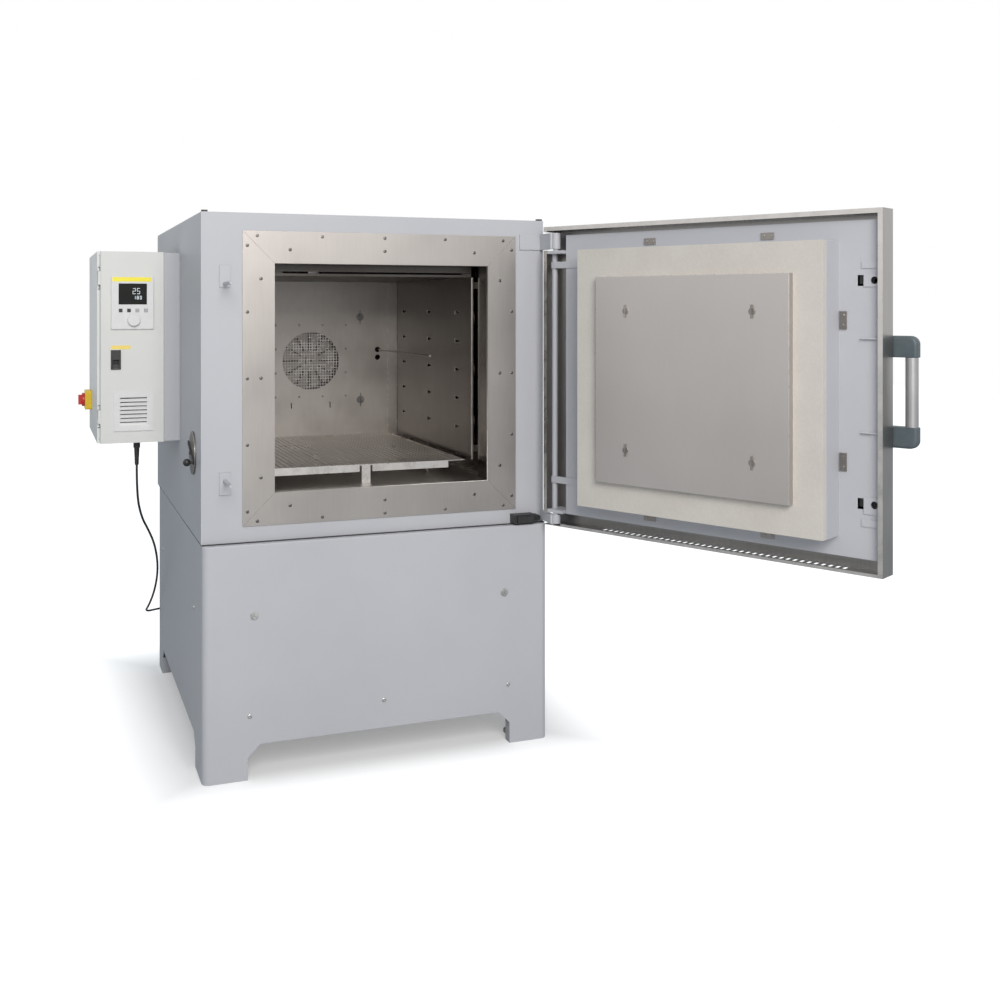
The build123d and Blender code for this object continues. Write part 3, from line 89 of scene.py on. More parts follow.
# Supply lead
# It hangs from the strain relief under the control box and sweeps round to the gland on the
# back of the stand. The control points are the CAD route in metres.
# Every finish on the object is made by surface_finish: two close tones mixed by broad clouds
# and a stretched grain, a roughness that follows them, and a fine bump.
def surface_finish(name, tones, metallic, rough, cloud, grain, grain_share, bump_depth, bump_scale):
    material = bpy.data.materials.new(name)
    material.use_nodes = True
    tree = material.node_tree
    shader = tree.nodes["Principled BSDF"]
    shader.inputs["Metallic"].default_value = metallic
    place = tree.nodes.new("ShaderNodeTexCoord")
    clouds = tree.nodes.new("ShaderNodeTexNoise")
    clouds.inputs["Scale"].default_value = cloud
    clouds.inputs["Detail"].default_value = 3
    tree.links.new(place.outputs["Object"], clouds.inputs["Vector"])
    stretch = tree.nodes.new("ShaderNodeMapping")
    stretch.inputs["Scale"].default_value = grain
    tree.links.new(place.outputs["Object"], stretch.inputs["Vector"])
    streaks = tree.nodes.new("ShaderNodeTexNoise")
    streaks.inputs["Scale"].default_value = 1
    streaks.inputs["Detail"].default_value = 3
    tree.links.new(stretch.outputs["Vector"], streaks.inputs["Vector"])
    both = tree.nodes.new("ShaderNodeMix")
    both.data_type = "FLOAT"
    both.inputs[0].default_value = grain_share
    tree.links.new(clouds.outputs["Fac"], both.inputs[2])
    tree.links.new(streaks.outputs["Fac"], both.inputs[3])
    spread = tree.nodes.new("ShaderNodeMapRange")
    spread.inputs["From Min"].default_value = 0.35
    spread.inputs["From Max"].default_value = 0.65
    tree.links.new(both.outputs[0], spread.inputs["Value"])
    tone = tree.nodes.new("ShaderNodeMix")
    tone.data_type = "RGBA"
    tone.inputs["A"].default_value = (*tones[0], 1)
    tone.inputs["B"].default_value = (*tones[1], 1)
    tree.links.new(spread.outputs["Result"], tone.inputs["Factor"])
    tree.links.new(tone.outputs["Result"], shader.inputs["Base Color"])
    wander = tree.nodes.new("ShaderNodeMapRange")
    wander.inputs["From Min"].default_value = 0.3
    wander.inputs["From Max"].default_value = 0.7
    wander.inputs["To Min"].default_value = rough[0]
    wander.inputs["To Max"].default_value = rough[1]
    tree.links.new(both.outputs[0], wander.inputs["Value"])
    tree.links.new(wander.outputs["Result"], shader.inputs["Roughness"])
    fine = tree.nodes.new("ShaderNodeTexNoise")
    fine.inputs["Scale"].default_value = bump_scale
    tree.links.new(place.outputs["Object"], fine.inputs["Vector"])
    bump = tree.nodes.new("ShaderNodeBump")
    bump.inputs["Strength"].default_value = bump_depth
    bump.inputs["Distance"].default_value = 0.001
    tree.links.new(fine.outputs["Fac"], bump.inputs["Height"])
    tree.links.new(bump.outputs["Normal"], shader.inputs["Normal"])
    return material


rubber = surface_finish(
    "rubber", ((0.010, 0.010, 0.011), (0.022, 0.022, 0.024)), 0, (0.50, 0.65),
    20, (80, 80, 80), 0.5, 0.10, 1400,
)
lead_diameter = 0.007
casing_front = -0.531
stand_rear = 0.559
gland_face = stand_rear + 0.028
lead_route = [
    (-0.623, casing_front + 0.520, 0.787),
    (-0.623, casing_front + 0.520, 0.695),
    (-0.605, casing_front + 0.575, 0.618),
    (-0.577, casing_front + 0.642, 0.562),
    (-0.554, casing_front + 0.712, 0.509),
    (-0.538, casing_front + 0.782, 0.452),
    (-0.528, casing_front + 0.852, 0.394),
    (-0.525, casing_front + 0.922, 0.335),
    (-0.528, casing_front + 0.992, 0.276),
    (-0.537, casing_front + 1.063, 0.219),
    (-0.545, casing_front + 1.141, 0.176),
    (-0.487, casing_front + 1.203, 0.168),
    (-0.400, casing_front + 1.203, 0.176),
    (-0.400, gland_face, 0.176),
]
lead_curve = bpy.data.curves.new("supply_lead_look", "CURVE")
lead_curve.dimensions = "3D"
lead_curve.bevel_depth = lead_diameter / 2
lead_curve.bevel_resolution = 5
lead_curve.resolution_u = 16
lead_curve.use_fill_caps = True
lead_spline = lead_curve.splines.new("NURBS")
lead_spline.points.add(len(lead_route) - 1)
for point, place in zip(lead_spline.points, lead_route):
    point.co = (*place, 1)
lead_spline.order_u = 3
lead_spline.use_endpoint_u = True
lead = bpy.data.objects.new("supply_lead_look", lead_curve)
collection.objects.link(lead)
lead_curve.materials.append(rubber)
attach(lead, "carcass")
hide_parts("supply_lead")


# Stand
# A wrap of folded steel sheet with a powder coat, on a welded frame hidden inside. Its front is
# a panel held by two quarter-turn locks, and its foot is cut out for the forks of a truck.
node_body = {}
for body, members in frame["record"]["behaviour"]["bodies"].items():
    for member in members:
        node_body[member] = body


merge_distance = 0.000002


# A CAD node keeps its own mesh and only gets its finish.
def dress(node, finish):
    nodes[node].data.materials.clear()
    nodes[node].data.materials.append(finish)


# The mesh of an object with its modifiers or curve settings worked out.
def worked_mesh(piece):
    return bpy.data.meshes.new_from_object(piece.evaluated_get(bpy.context.evaluated_depsgraph_get()))


# A copy of a node's mesh with its sharp edges rounded; the rounded edges take a second finish, mostly a
# lighter tone that is partly wear and partly painted highlight.
def edged_copy(node, radius, finish, edge_light_shade_and_wear):
    mesh = nodes[node].data.copy()
    mesh.name = node + "_look"
    work = bmesh.new()
    work.from_mesh(mesh)
    bmesh.ops.remove_doubles(work, verts=work.verts[:], dist=merge_distance)
    bmesh.ops.dissolve_limit(work, angle_limit=math.radians(0.5), verts=work.verts[:], edges=work.edges[:])
    work.to_mesh(mesh)
    work.free()
    mesh.polygons.foreach_set("use_smooth", [True] * len(mesh.polygons))
    mesh.materials.clear()
    mesh.materials.append(finish)
    mesh.materials.append(edge_light_shade_and_wear)
    piece = bpy.data.objects.new(node + "_look", mesh)
    collection.objects.link(piece)
    rounding = piece.modifiers.new("edges", "BEVEL")
    rounding.width = radius
    rounding.segments = 2
    rounding.limit_method = "ANGLE"
    rounding.angle_limit = math.radians(40)
    rounding.material = 1
    level = piece.modifiers.new("level faces", "WEIGHTED_NORMAL")
    level.weight = 80
    rounded = worked_mesh(piece)
    piece.modifiers.clear()
    piece.data = rounded
    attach(piece, node_body[node])
    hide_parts(node)
    return piece


paint = surface_finish(
    "grey_powder_coat", ((0.475, 0.482, 0.512), (0.505, 0.512, 0.542)), 0, (0.40, 0.52),
    1.6, (9, 9, 9), 0.25, 0.06, 700,
)
# Lighter tone for the paint's rounded edges: partly wear, partly painted highlight.
paint_highlight_edge = surface_finish(
    "grey_powder_coat_highlight_edge", ((0.54, 0.55, 0.58), (0.59, 0.60, 0.63)), 0, (0.34, 0.44),
    6, (40, 40, 40), 0.5, 0.05, 700,
)
zinc = surface_finish(
    "zinc_plated_steel", ((0.42, 0.42, 0.42), (0.58, 0.58, 0.57)), 1, (0.26, 0.40),
    40, (90, 90, 90), 0.5, 0.04, 500,
)
# Lighter tone for the zinc's rounded edges, a painted highlight.
zinc_highlight_edge = surface_finish(
    "zinc_plated_highlight_edge", ((0.66, 0.66, 0.65), (0.74, 0.74, 0.73)), 1, (0.20, 0.30),
    40, (90, 90, 90), 0.5, 0.03, 500,
)
edged_copy("stand_panels", 0.0012, paint, paint_highlight_edge)
dress("stand_frame", paint)
edged_copy("stand_locks", 0.0005, zinc, zinc_highlight_edge)

# Stand screws
# Plated pan-head screws with a star recess hold the wrap on its frame: three low on the front
# and two on each side. One head is modelled and set on every spot.
screw_segments = 24
screw_profile = ((1.0, 0.0), (1.0, 0.42), (0.93, 0.70), (0.74, 0.90), (0.50, 1.0))
recess_points = 6
recess_radius = 0.40
recess_wave = 0.06
recess_floor = 0.40
head_mesh = bpy.data.meshes.new("screw_head")
head_work = bmesh.new()
rings = []
for reach, height in screw_profile:
    ring = []
    for step in range(screw_segments):
        angle = 2 * math.pi * step / screw_segments
        ring.append(head_work.verts.new((reach * math.cos(angle), reach * math.sin(angle), height)))
    rings.append(ring)
for height in (1.0, recess_floor):
    ring = []
    for step in range(screw_segments):
        angle = 2 * math.pi * step / screw_segments
        reach = recess_radius + recess_wave * math.cos(recess_points * angle)
        ring.append(head_work.verts.new((reach * math.cos(angle), reach * math.sin(angle), height)))
    rings.append(ring)
for below, above in zip(rings, rings[1:]):
    for step in range(screw_segments):
        after = (step + 1) % screw_segments
        head_work.faces.new((below[step], below[after], above[after], above[step]))
head_work.faces.new(list(reversed(rings[0])))
head_work.faces.new(rings[-1])
head_work.to_mesh(head_mesh)
head_work.free()
screw_head = bpy.data.objects.new("screw_head", head_mesh)
collection.objects.link(screw_head)


# The loose solids of a node, each as its lowest and highest corner.
def solid_boxes(node):
    work = bmesh.new()
    work.from_mesh(nodes[node].data)
    bmesh.ops.remove_doubles(work, verts=work.verts[:], dist=merge_distance)
    waiting = set(work.verts)
    boxes = []
    while waiting:
        front = [waiting.pop()]
        solid = []
        while front:
            vert = front.pop()
            solid.append(vert.co.copy())
            for edge in vert.link_edges:
                other = edge.other_vert(vert)
                if other in waiting:
                    waiting.remove(other)
                    front.append(other)
        low = Vector([min(co[axis] for co in solid) for axis in range(3)])
        high = Vector([max(co[axis] for co in solid) for axis in range(3)])
        boxes.append((low, high))
    work.free()
    return boxes


# Screw heads on a list of spots: each spot is a place on the sheet and the way the head faces.
def set_screws(name, spots, radius, height, finish):
    points = bpy.data.meshes.new(name)
    points.from_pydata([place for place, facing in spots], [], [])
    facing_data = points.attributes.new("facing", "FLOAT_VECTOR", "POINT")
    for entry, (place, facing) in zip(facing_data.data, spots):
        entry.vector = facing
    tree = bpy.data.node_groups.new(name, "GeometryNodeTree")
    tree.interface.new_socket("Spots", in_out="INPUT", socket_type="NodeSocketGeometry")
    radius_input = tree.interface.new_socket("Head radius", in_out="INPUT", socket_type="NodeSocketFloat")
    height_input = tree.interface.new_socket("Head height", in_out="INPUT", socket_type="NodeSocketFloat")
    tree.interface.new_socket("Screws", in_out="OUTPUT", socket_type="NodeSocketGeometry")
    entry = tree.nodes.new("NodeGroupInput")
    leave = tree.nodes.new("NodeGroupOutput")
    head = tree.nodes.new("GeometryNodeObjectInfo")
    head.inputs["Object"].default_value = screw_head
    size = tree.nodes.new("ShaderNodeCombineXYZ")
    tree.links.new(entry.outputs["Head radius"], size.inputs["X"])
    tree.links.new(entry.outputs["Head radius"], size.inputs["Y"])
    tree.links.new(entry.outputs["Head height"], size.inputs["Z"])
    way = tree.nodes.new("GeometryNodeInputNamedAttribute")
    way.data_type = "FLOAT_VECTOR"
    way.inputs["Name"].default_value = "facing"
    aim = tree.nodes.new("FunctionNodeAlignRotationToVector")
    aim.axis = "Z"
    tree.links.new(way.outputs["Attribute"], aim.inputs["Vector"])
    chance = tree.nodes.new("FunctionNodeRandomValue")
    chance.data_type = "FLOAT"
    chance.inputs["Max"].default_value = 2 * math.pi
    chance.inputs["Seed"].default_value = 11
    spin = tree.nodes.new("FunctionNodeAxisAngleToRotation")
    spin.inputs["Axis"].default_value = (0, 0, 1)
    tree.links.new(chance.outputs["Value"], spin.inputs["Angle"])
    turned = tree.nodes.new("FunctionNodeRotateRotation")
    turned.rotation_space = "LOCAL"
    tree.links.new(aim.outputs["Rotation"], turned.inputs["Rotation"])
    tree.links.new(spin.outputs["Rotation"], turned.inputs["Rotate By"])
    heads = tree.nodes.new("GeometryNodeInstanceOnPoints")
    tree.links.new(entry.outputs["Spots"], heads.inputs["Points"])
    tree.links.new(head.outputs["Geometry"], heads.inputs["Instance"])
    tree.links.new(turned.outputs["Rotation"], heads.inputs["Rotation"])
    tree.links.new(size.outputs["Vector"], heads.inputs["Scale"])
    solid = tree.nodes.new("GeometryNodeRealizeInstances")
    tree.links.new(heads.outputs["Instances"], solid.inputs["Geometry"])
    coat = tree.nodes.new("GeometryNodeSetMaterial")
    coat.inputs["Material"].default_value = finish
    tree.links.new(solid.outputs["Geometry"], coat.inputs["Geometry"])
    tree.links.new(coat.outputs["Geometry"], leave.inputs["Screws"])
    piece = bpy.data.objects.new(name, points)
    collection.objects.link(piece)
    maker = piece.modifiers.new("screws", "NODES")
    maker.node_group = tree
    maker[radius_input.identifier] = radius
    maker[height_input.identifier] = height
    made = worked_mesh(piece)
    piece.modifiers.clear()
    piece.data = made
    return piece


stand_screw_radius = 0.006
stand_screw_height = 0.0025
stand_spots = []
for low, high in solid_boxes("stand_screws"):
    middle = (low + high) / 2
    if high.x - low.x > high.y - low.y:
        stand_spots.append(((middle.x, low.y + stand_screw_height, middle.z), (0, -1, 0)))
    elif middle.x < 0:
        stand_spots.append(((low.x + stand_screw_height, middle.y, middle.z), (-1, 0, 0)))
    else:
        stand_spots.append(((high.x - stand_screw_height, middle.y, middle.z), (1, 0, 0)))
stand_heads = set_screws("stand_screw_heads", stand_spots, stand_screw_radius, stand_screw_height, zinc)
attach(stand_heads, "carcass")
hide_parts("stand_screws")

# Casing
# Folded and powder-coated sheet: two side walls, a front sheet with the square mouth, covers and
# a back. Black caps stand on the roof, and fibre boards fill the space behind the sheet.
black_plastic = surface_finish(
    "black_plastic", ((0.012, 0.012, 0.013), (0.024, 0.024, 0.026)), 0, (0.40, 0.55),
    30, (60, 60, 60), 0.5, 0.08, 900,
)
fibre = surface_finish(
    "ceramic_fibre", ((0.570, 0.535, 0.490), (0.625, 0.592, 0.548)), 0, (0.86, 0.98),
    9, (150, 150, 150), 0.45, 0.35, 420,
)
casing_rounding = 0.0010
for node in ("casing_front_sheet", "casing_sides", "casing_covers", "casing_back"):
    edged_copy(node, casing_rounding, paint, paint_highlight_edge)
dress("roof_caps", black_plastic)
dress("insulation", fibre)


# A closed block between two corners, added to a mesh that is being made.
def add_block(work, low, high):
    places = []
    for z in (low[2], high[2]):
        for x, y in ((low[0], low[1]), (high[0], low[1]), (high[0], high[1]), (low[0], high[1])):
            places.append(work.verts.new((x, y, z)))
    work.faces.new((places[3], places[2], places[1], places[0]))
    work.faces.new(places[4:])
    for step in range(4):
        after = (step + 1) % 4
        work.faces.new((places[step], places[after], places[after + 4], places[step + 4]))


# The mesh that was made becomes an object with one finish.
def made_piece(name, work, finish):
    mesh = bpy.data.meshes.new(name)
    work.to_mesh(mesh)
    work.free()
    mesh.materials.append(finish)
    piece = bpy.data.objects.new(name, mesh)
    collection.objects.link(piece)
    return piece


# A dark rubber strip all round the joint between the casing and the stand is painted shade: it stands for
# the shadow line in the joint.
shade_strip_base = 0.6320
shade_strip_top = 0.6337
shade_strip_side = 0.5006
shade_strip_front = -0.5410
shade_strip_rear = 0.5595
shade_strip_wide = 0.018
shade_strip_inner = casing_front + 0.001
shade_strip_work = bmesh.new()
for left, right, front, rear in (
    (-shade_strip_side, shade_strip_side, shade_strip_front, shade_strip_inner),
    (-shade_strip_side, shade_strip_side, shade_strip_rear - shade_strip_wide, shade_strip_rear),
    (-shade_strip_side, -shade_strip_side + shade_strip_wide, shade_strip_inner, shade_strip_rear - shade_strip_wide),
    (shade_strip_side - shade_strip_wide, shade_strip_side, shade_strip_inner, shade_strip_rear - shade_strip_wide),
):
    add_block(shade_strip_work, (left, front, shade_strip_base), (right, rear, shade_strip_top))
casing_seal = made_piece("casing_seal", shade_strip_work, rubber)
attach(casing_seal, "carcass")

# Chamber liner
# Welded stainless sheet that the heat has dulled to a warm grey. The floor faces take a lighter, rougher
# tone of the same steel, painted light where the floor catches the light from the mouth.
chamber_steel = surface_finish(
    "heated_stainless", ((0.245, 0.225, 0.206), (0.342, 0.320, 0.299)), 1, (0.18, 0.28),
    5, (6, 6, 40), 0.2, 0.04, 220,
)
# Lighter tone for the liner steel's rounded edges, a painted highlight.
chamber_highlight_edge = surface_finish(
    "heated_stainless_highlight_edge", ((0.50, 0.48, 0.46), (0.62, 0.60, 0.58)), 1, (0.22, 0.32),
    20, (40, 40, 40), 0.5, 0.04, 300,
)
lit_floor_steel = surface_finish(
    "lit_floor_stainless", ((0.38, 0.36, 0.34), (0.45, 0.43, 0.41)), 1, (0.26, 0.34),
    5, (6, 6, 40), 0.2, 0.04, 220,
)
liner_mesh = edged_copy("chamber_liner", 0.0008, chamber_steel, chamber_highlight_edge).data
liner_mesh.materials.append(lit_floor_steel)
floor_below = 0.80
straight_on = 0.9
for face in liner_mesh.polygons:
    if face.normal.z > straight_on and face.center.z < floor_below:
        face.material_index = len(liner_mesh.materials) - 1
# The liner's front edge is rolled over into a bead round the mouth; the bead takes a lighter steel than
# the liner, a painted highlight along the mouth.
bead_highlight_steel = surface_finish(
    "bead_highlight_stainless", ((0.36, 0.34, 0.33), (0.43, 0.41, 0.40)), 1, (0.34, 0.44),
    20, (40, 40, 40), 0.4, 0.04, 300,
)
mouth_x = 0.010
mouth_z = 1.0755
mouth_half = 0.3135
bead_radius = 0.003
bead_curve = bpy.data.curves.new("mouth_bead", "CURVE")
bead_curve.dimensions = "3D"
bead_curve.bevel_depth = bead_radius
bead_curve.bevel_resolution = 4
bead_spline = bead_curve.splines.new("POLY")
bead_spline.use_cyclic_u = True
bead_spline.points.add(3)
bead_front = casing_front + 0.004
bead_corners = ((-1, -1), (1, -1), (1, 1), (-1, 1))
for point, (across, up) in zip(bead_spline.points, bead_corners):
    point.co = (mouth_x + across * mouth_half, bead_front, mouth_z + up * mouth_half, 1)
bead_draft = bpy.data.objects.new("mouth_bead_draft", bead_curve)
collection.objects.link(bead_draft)
bead_mesh = worked_mesh(bead_draft)
bpy.data.objects.remove(bead_draft)
bead_mesh.materials.clear()
bead_mesh.materials.append(bead_highlight_steel)
bead = bpy.data.objects.new("mouth_bead", bead_mesh)
collection.objects.link(bead)
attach(bead, "carcass")

# Front ring
# Four mitred strips of brushed stainless frame the mouth. Each is screwed down along both edges.
brushed = surface_finish(
    "brushed_stainless", ((0.345, 0.326, 0.312), (0.400, 0.380, 0.366)), 1, (0.34, 0.44),
    3, (200, 200, 12), 0.2, 0.04, 300,
)
# Lighter tone for the brushed steel's rounded edges, a painted highlight.
brushed_edge = surface_finish(
    "brushed_stainless_edge", ((0.54, 0.52, 0.50), (0.62, 0.60, 0.58)), 1, (0.24, 0.34),
    20, (40, 40, 40), 0.5, 0.04, 300,
)
dark_screw = surface_finish(
    "dark_screw_steel", ((0.10, 0.10, 0.10), (0.20, 0.19, 0.185)), 1, (0.28, 0.42),
    60, (90, 90, 90), 0.5, 0.04, 500,
)
edged_copy("front_ring", 0.0008, brushed, brushed_edge)
ring_screw_radius = 0.0045
ring_screw_height = 0.002
ring_spots = []
for low, high in solid_boxes("ring_screws"):
    middle = (low + high) / 2
    ring_spots.append(((middle.x, low.y + ring_screw_height, middle.z), (0, -1, 0)))
ring_heads = set_screws("ring_screw_heads", ring_spots, ring_screw_radius, ring_screw_height, dark_screw)
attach(ring_heads, "carcass")
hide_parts("ring_screws")

# Air guides
# Folded stainless sheets that lead the air round the chamber. The side sheets have punched
# slots, and the back wall carries the fan's window.
wall_steel = surface_finish(
    "baffle_stainless", ((0.240, 0.222, 0.206), (0.324, 0.305, 0.288)), 1, (0.30, 0.42),
    5, (60, 60, 12), 0.15, 0.05, 220,
)
# A much darker copy of the baffle steel for the ceiling: painted shade on the chamber's roof.
shaded_roof_steel = surface_finish(
    "shaded_ceiling_stainless", ((0.075, 0.069, 0.064), (0.105, 0.098, 0.092)), 1, (0.30, 0.42),
    5, (60, 60, 12), 0.15, 0.05, 220,
)
for node in ("side_baffles", "back_baffle"):
    edged_copy(node, 0.0006, wall_steel, chamber_highlight_edge)
edged_copy("ceiling_baffle", 0.0006, shaded_roof_steel, shaded_roof_steel)
# Two anchor clips hold the back wall: each is a round washer with a bent tab through it.
clip_places = ((0.1717, 1.2324), (0.1736, 0.9384))
clip_wall = 0.319
washer_radius = 0.0135
washer_thick = 0.0015
tab_half = 0.0012
tab_height = 0.024
tab_reach = 0.006
washer_sides = 24
clip_work = bmesh.new()
for x, z in clip_places:
    back_round = []
    front_round = []
    for step in range(washer_sides):
        angle = 2 * math.pi * step / washer_sides
        across = x + washer_radius * math.cos(angle)
        up = z + washer_radius * math.sin(angle)
        back_round.append(clip_work.verts.new((across, clip_wall, up)))
        front_round.append(clip_work.verts.new((across, clip_wall - washer_thick, up)))
    clip_work.faces.new(front_round)
    clip_work.faces.new(list(reversed(back_round)))
    for step in range(washer_sides):
        after = (step + 1) % washer_sides
        clip_work.faces.new((front_round[after], front_round[step], back_round[step], back_round[after]))
    add_block(
        clip_work, (x - tab_half, clip_wall - tab_reach, z - tab_height),
        (x + tab_half, clip_wall - washer_thick, z + tab_height),
    )
bmesh.ops.recalc_face_normals(clip_work, faces=clip_work.faces[:])
wall_clips = made_piece("wall_clips", clip_work, dark_screw)
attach(wall_clips, "carcass")

# Fan, guard and heaters
# A radial wheel turns behind a round window of square mesh in a riveted plate. Tubular heaters
# run along both sides of the liner, and a probe reaches in from the back.
dark_steel = surface_finish(
    "oxidised_steel", ((0.045, 0.041, 0.037), (0.090, 0.082, 0.074)), 1, (0.40, 0.55),
    12, (60, 60, 60), 0.5, 0.06, 300,
)
motor_paint = surface_finish(
    "motor_enamel", ((0.05, 0.055, 0.06), (0.08, 0.085, 0.09)), 0, (0.45, 0.60),
    12, (60, 60, 60), 0.5, 0.12, 300,
)
guard_wire = surface_finish(
    "bright_mesh_wire", ((0.38, 0.36, 0.34), (0.47, 0.45, 0.43)), 1, (0.26, 0.36),
    20, (60, 60, 60), 0.3, 0.04, 300,
)
wheel_steel = surface_finish(
    "fan_wheel_steel", ((0.215, 0.198, 0.182), (0.275, 0.256, 0.238)), 1, (0.32, 0.44),
    8, (60, 60, 60), 0.3, 0.05, 300,
)
# Near-black steel for the fan blades, painted shade.
blade_shade = surface_finish(
    "shaded_blade_steel", ((0.016, 0.015, 0.014), (0.034, 0.032, 0.030)), 1, (0.45, 0.60),
    12, (60, 60, 60), 0.5, 0.06, 300,
)
# The window's wires are brighter than the plate around them.
wheel_low, wheel_high = (Vector(corner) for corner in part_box("fan_wheel"))
wheel_middle = (wheel_low + wheel_high) / 2
window_radius = 0.102
guard_mesh = edged_copy("fan_guard", 0.0001, wall_steel, wall_steel).data
guard_mesh.materials.append(guard_wire)
for face in guard_mesh.polygons:
    corners = [guard_mesh.vertices[number].co - wheel_middle for number in face.vertices]
    if max(math.hypot(corner.x, corner.z) for corner in corners) < window_radius:
        face.material_index = len(guard_mesh.materials) - 1
# The wheel's disc and hub are dull sheet, and its blades are near black: painted shade for the dark gaps
# between them.
hub_reach = 0.017
disc_thick = 0.0025
wheel_mesh = edged_copy("fan_wheel", 0.0002, wheel_steel, wheel_steel).data
wheel_mesh.materials.clear()
wheel_mesh.materials.append(wheel_steel)
wheel_mesh.materials.append(blade_shade)
for face in wheel_mesh.polygons:
    reach = math.hypot(face.center.x - wheel_middle.x, face.center.z - wheel_middle.z)
    on_blade = reach > hub_reach and face.center.y < wheel_high.y - disc_thick
    face.material_index = 1 if on_blade else 0
dress("fan_shaft", dark_steel)
dress("heaters", dark_steel)
dress("temperature_probe", wall_steel)
dress("exhaust_pipe", brushed)
dress("fan_motor", motor_paint)
rivet_radius = 0.0036
rivet_height = 0.0012
rivet_spots = []
for low, high in solid_boxes("guard_rivets"):
    middle = (low + high) / 2
    rivet_spots.append(((middle.x, low.y + rivet_height, middle.z), (0, -1, 0)))
rivet_heads = set_screws("guard_rivet_heads", rivet_spots, rivet_radius, rivet_height, dark_screw)
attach(rivet_heads, "carcass")
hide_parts("guard_rivets")

# Floor shelf
# A finely perforated stainless plate with a folded apron at the front, on two rails and a centre
# foot. One square of sheet round a hole is modelled and laid out in rows.
shelf_low, shelf_high = (Vector(corner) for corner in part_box("floor_shelf"))
shelf_sheet = 0.002
apron_depth = 0.021
apron_right = 0.233
foot_middle = -0.019
foot_half = 0.013
foot_slot = 0.006
foot_slot_top = 0.003
hole_pitch = 0.0165
hole_radius = 0.0048
hole_sides = 8
tile_merge = 0.00005
plate_low = Vector((shelf_low.x, shelf_low.y + shelf_sheet, shelf_high.z - shelf_sheet))
plate_high = shelf_high
hole_columns = int((plate_high.x - plate_low.x) / hole_pitch) - 1
hole_rows = int((plate_high.y - plate_low.y) / hole_pitch) - 1
tile_mesh = bpy.data.meshes.new("shelf_tile")
tile_work = bmesh.new()
tile_rings = []
for height in (shelf_sheet, 0):
    square = []
    hole = []
    for step in range(hole_sides):
        angle = 2 * math.pi * step / hole_sides
        across = max(abs(math.cos(angle)), abs(math.sin(angle)))
        reach = hole_pitch / 2 / across
        for corners, distance in ((square, reach), (hole, hole_radius)):
            spot = (distance * math.cos(angle), distance * math.sin(angle), height)
            corners.append(tile_work.verts.new(spot))
    tile_rings.append((square, hole))
for step in range(hole_sides):
    after = (step + 1) % hole_sides
    (top_square, top_hole), (low_square, low_hole) = tile_rings
    tile_work.faces.new((top_square[step], top_square[after], top_hole[after], top_hole[step]))
    tile_work.faces.new((low_square[after], low_square[step], low_hole[step], low_hole[after]))
    tile_work.faces.new((top_hole[step], top_hole[after], low_hole[after], low_hole[step]))
tile_work.to_mesh(tile_mesh)
tile_work.free()
tile = bpy.data.objects.new("shelf_tile", tile_mesh)
collection.objects.link(tile)
shelf_tree = bpy.data.node_groups.new("perforated_plate", "GeometryNodeTree")
shelf_tree.interface.new_socket("Start", in_out="INPUT", socket_type="NodeSocketGeometry")
plate_inputs = {}
for label, kind in (("Columns", "NodeSocketInt"), ("Rows", "NodeSocketInt"), ("Pitch", "NodeSocketFloat"),
                    ("Middle", "NodeSocketVector")):
    plate_inputs[label] = shelf_tree.interface.new_socket(label, in_out="INPUT", socket_type=kind)
shelf_tree.interface.new_socket("Plate", in_out="OUTPUT", socket_type="NodeSocketGeometry")
entry = shelf_tree.nodes.new("NodeGroupInput")
leave = shelf_tree.nodes.new("NodeGroupOutput")
field = shelf_tree.nodes.new("GeometryNodeMeshGrid")
shelf_tree.links.new(entry.outputs["Columns"], field.inputs["Vertices X"])
shelf_tree.links.new(entry.outputs["Rows"], field.inputs["Vertices Y"])
for count, side in (("Columns", "Size X"), ("Rows", "Size Y")):
    fewer = shelf_tree.nodes.new("ShaderNodeMath")
    fewer.operation = "SUBTRACT"
    fewer.inputs[1].default_value = 1
    span = shelf_tree.nodes.new("ShaderNodeMath")
    span.operation = "MULTIPLY"
    shelf_tree.links.new(entry.outputs[count], fewer.inputs[0])
    shelf_tree.links.new(fewer.outputs["Value"], span.inputs[0])
    shelf_tree.links.new(entry.outputs["Pitch"], span.inputs[1])
    shelf_tree.links.new(span.outputs["Value"], field.inputs[side])
squares = shelf_tree.nodes.new("GeometryNodeObjectInfo")
squares.inputs["Object"].default_value = tile
tiles = shelf_tree.nodes.new("GeometryNodeInstanceOnPoints")
shelf_tree.links.new(field.outputs["Mesh"], tiles.inputs["Points"])
shelf_tree.links.new(squares.outputs["Geometry"], tiles.inputs["Instance"])
laid = shelf_tree.nodes.new("GeometryNodeRealizeInstances")
shelf_tree.links.new(tiles.outputs["Instances"], laid.inputs["Geometry"])
joined = shelf_tree.nodes.new("GeometryNodeMergeByDistance")
joined.inputs["Distance"].default_value = tile_merge
shelf_tree.links.new(laid.outputs["Geometry"], joined.inputs["Geometry"])
moved = shelf_tree.nodes.new("GeometryNodeTransform")
shelf_tree.links.new(joined.outputs["Geometry"], moved.inputs["Geometry"])
shelf_tree.links.new(entry.outputs["Middle"], moved.inputs["Translation"])
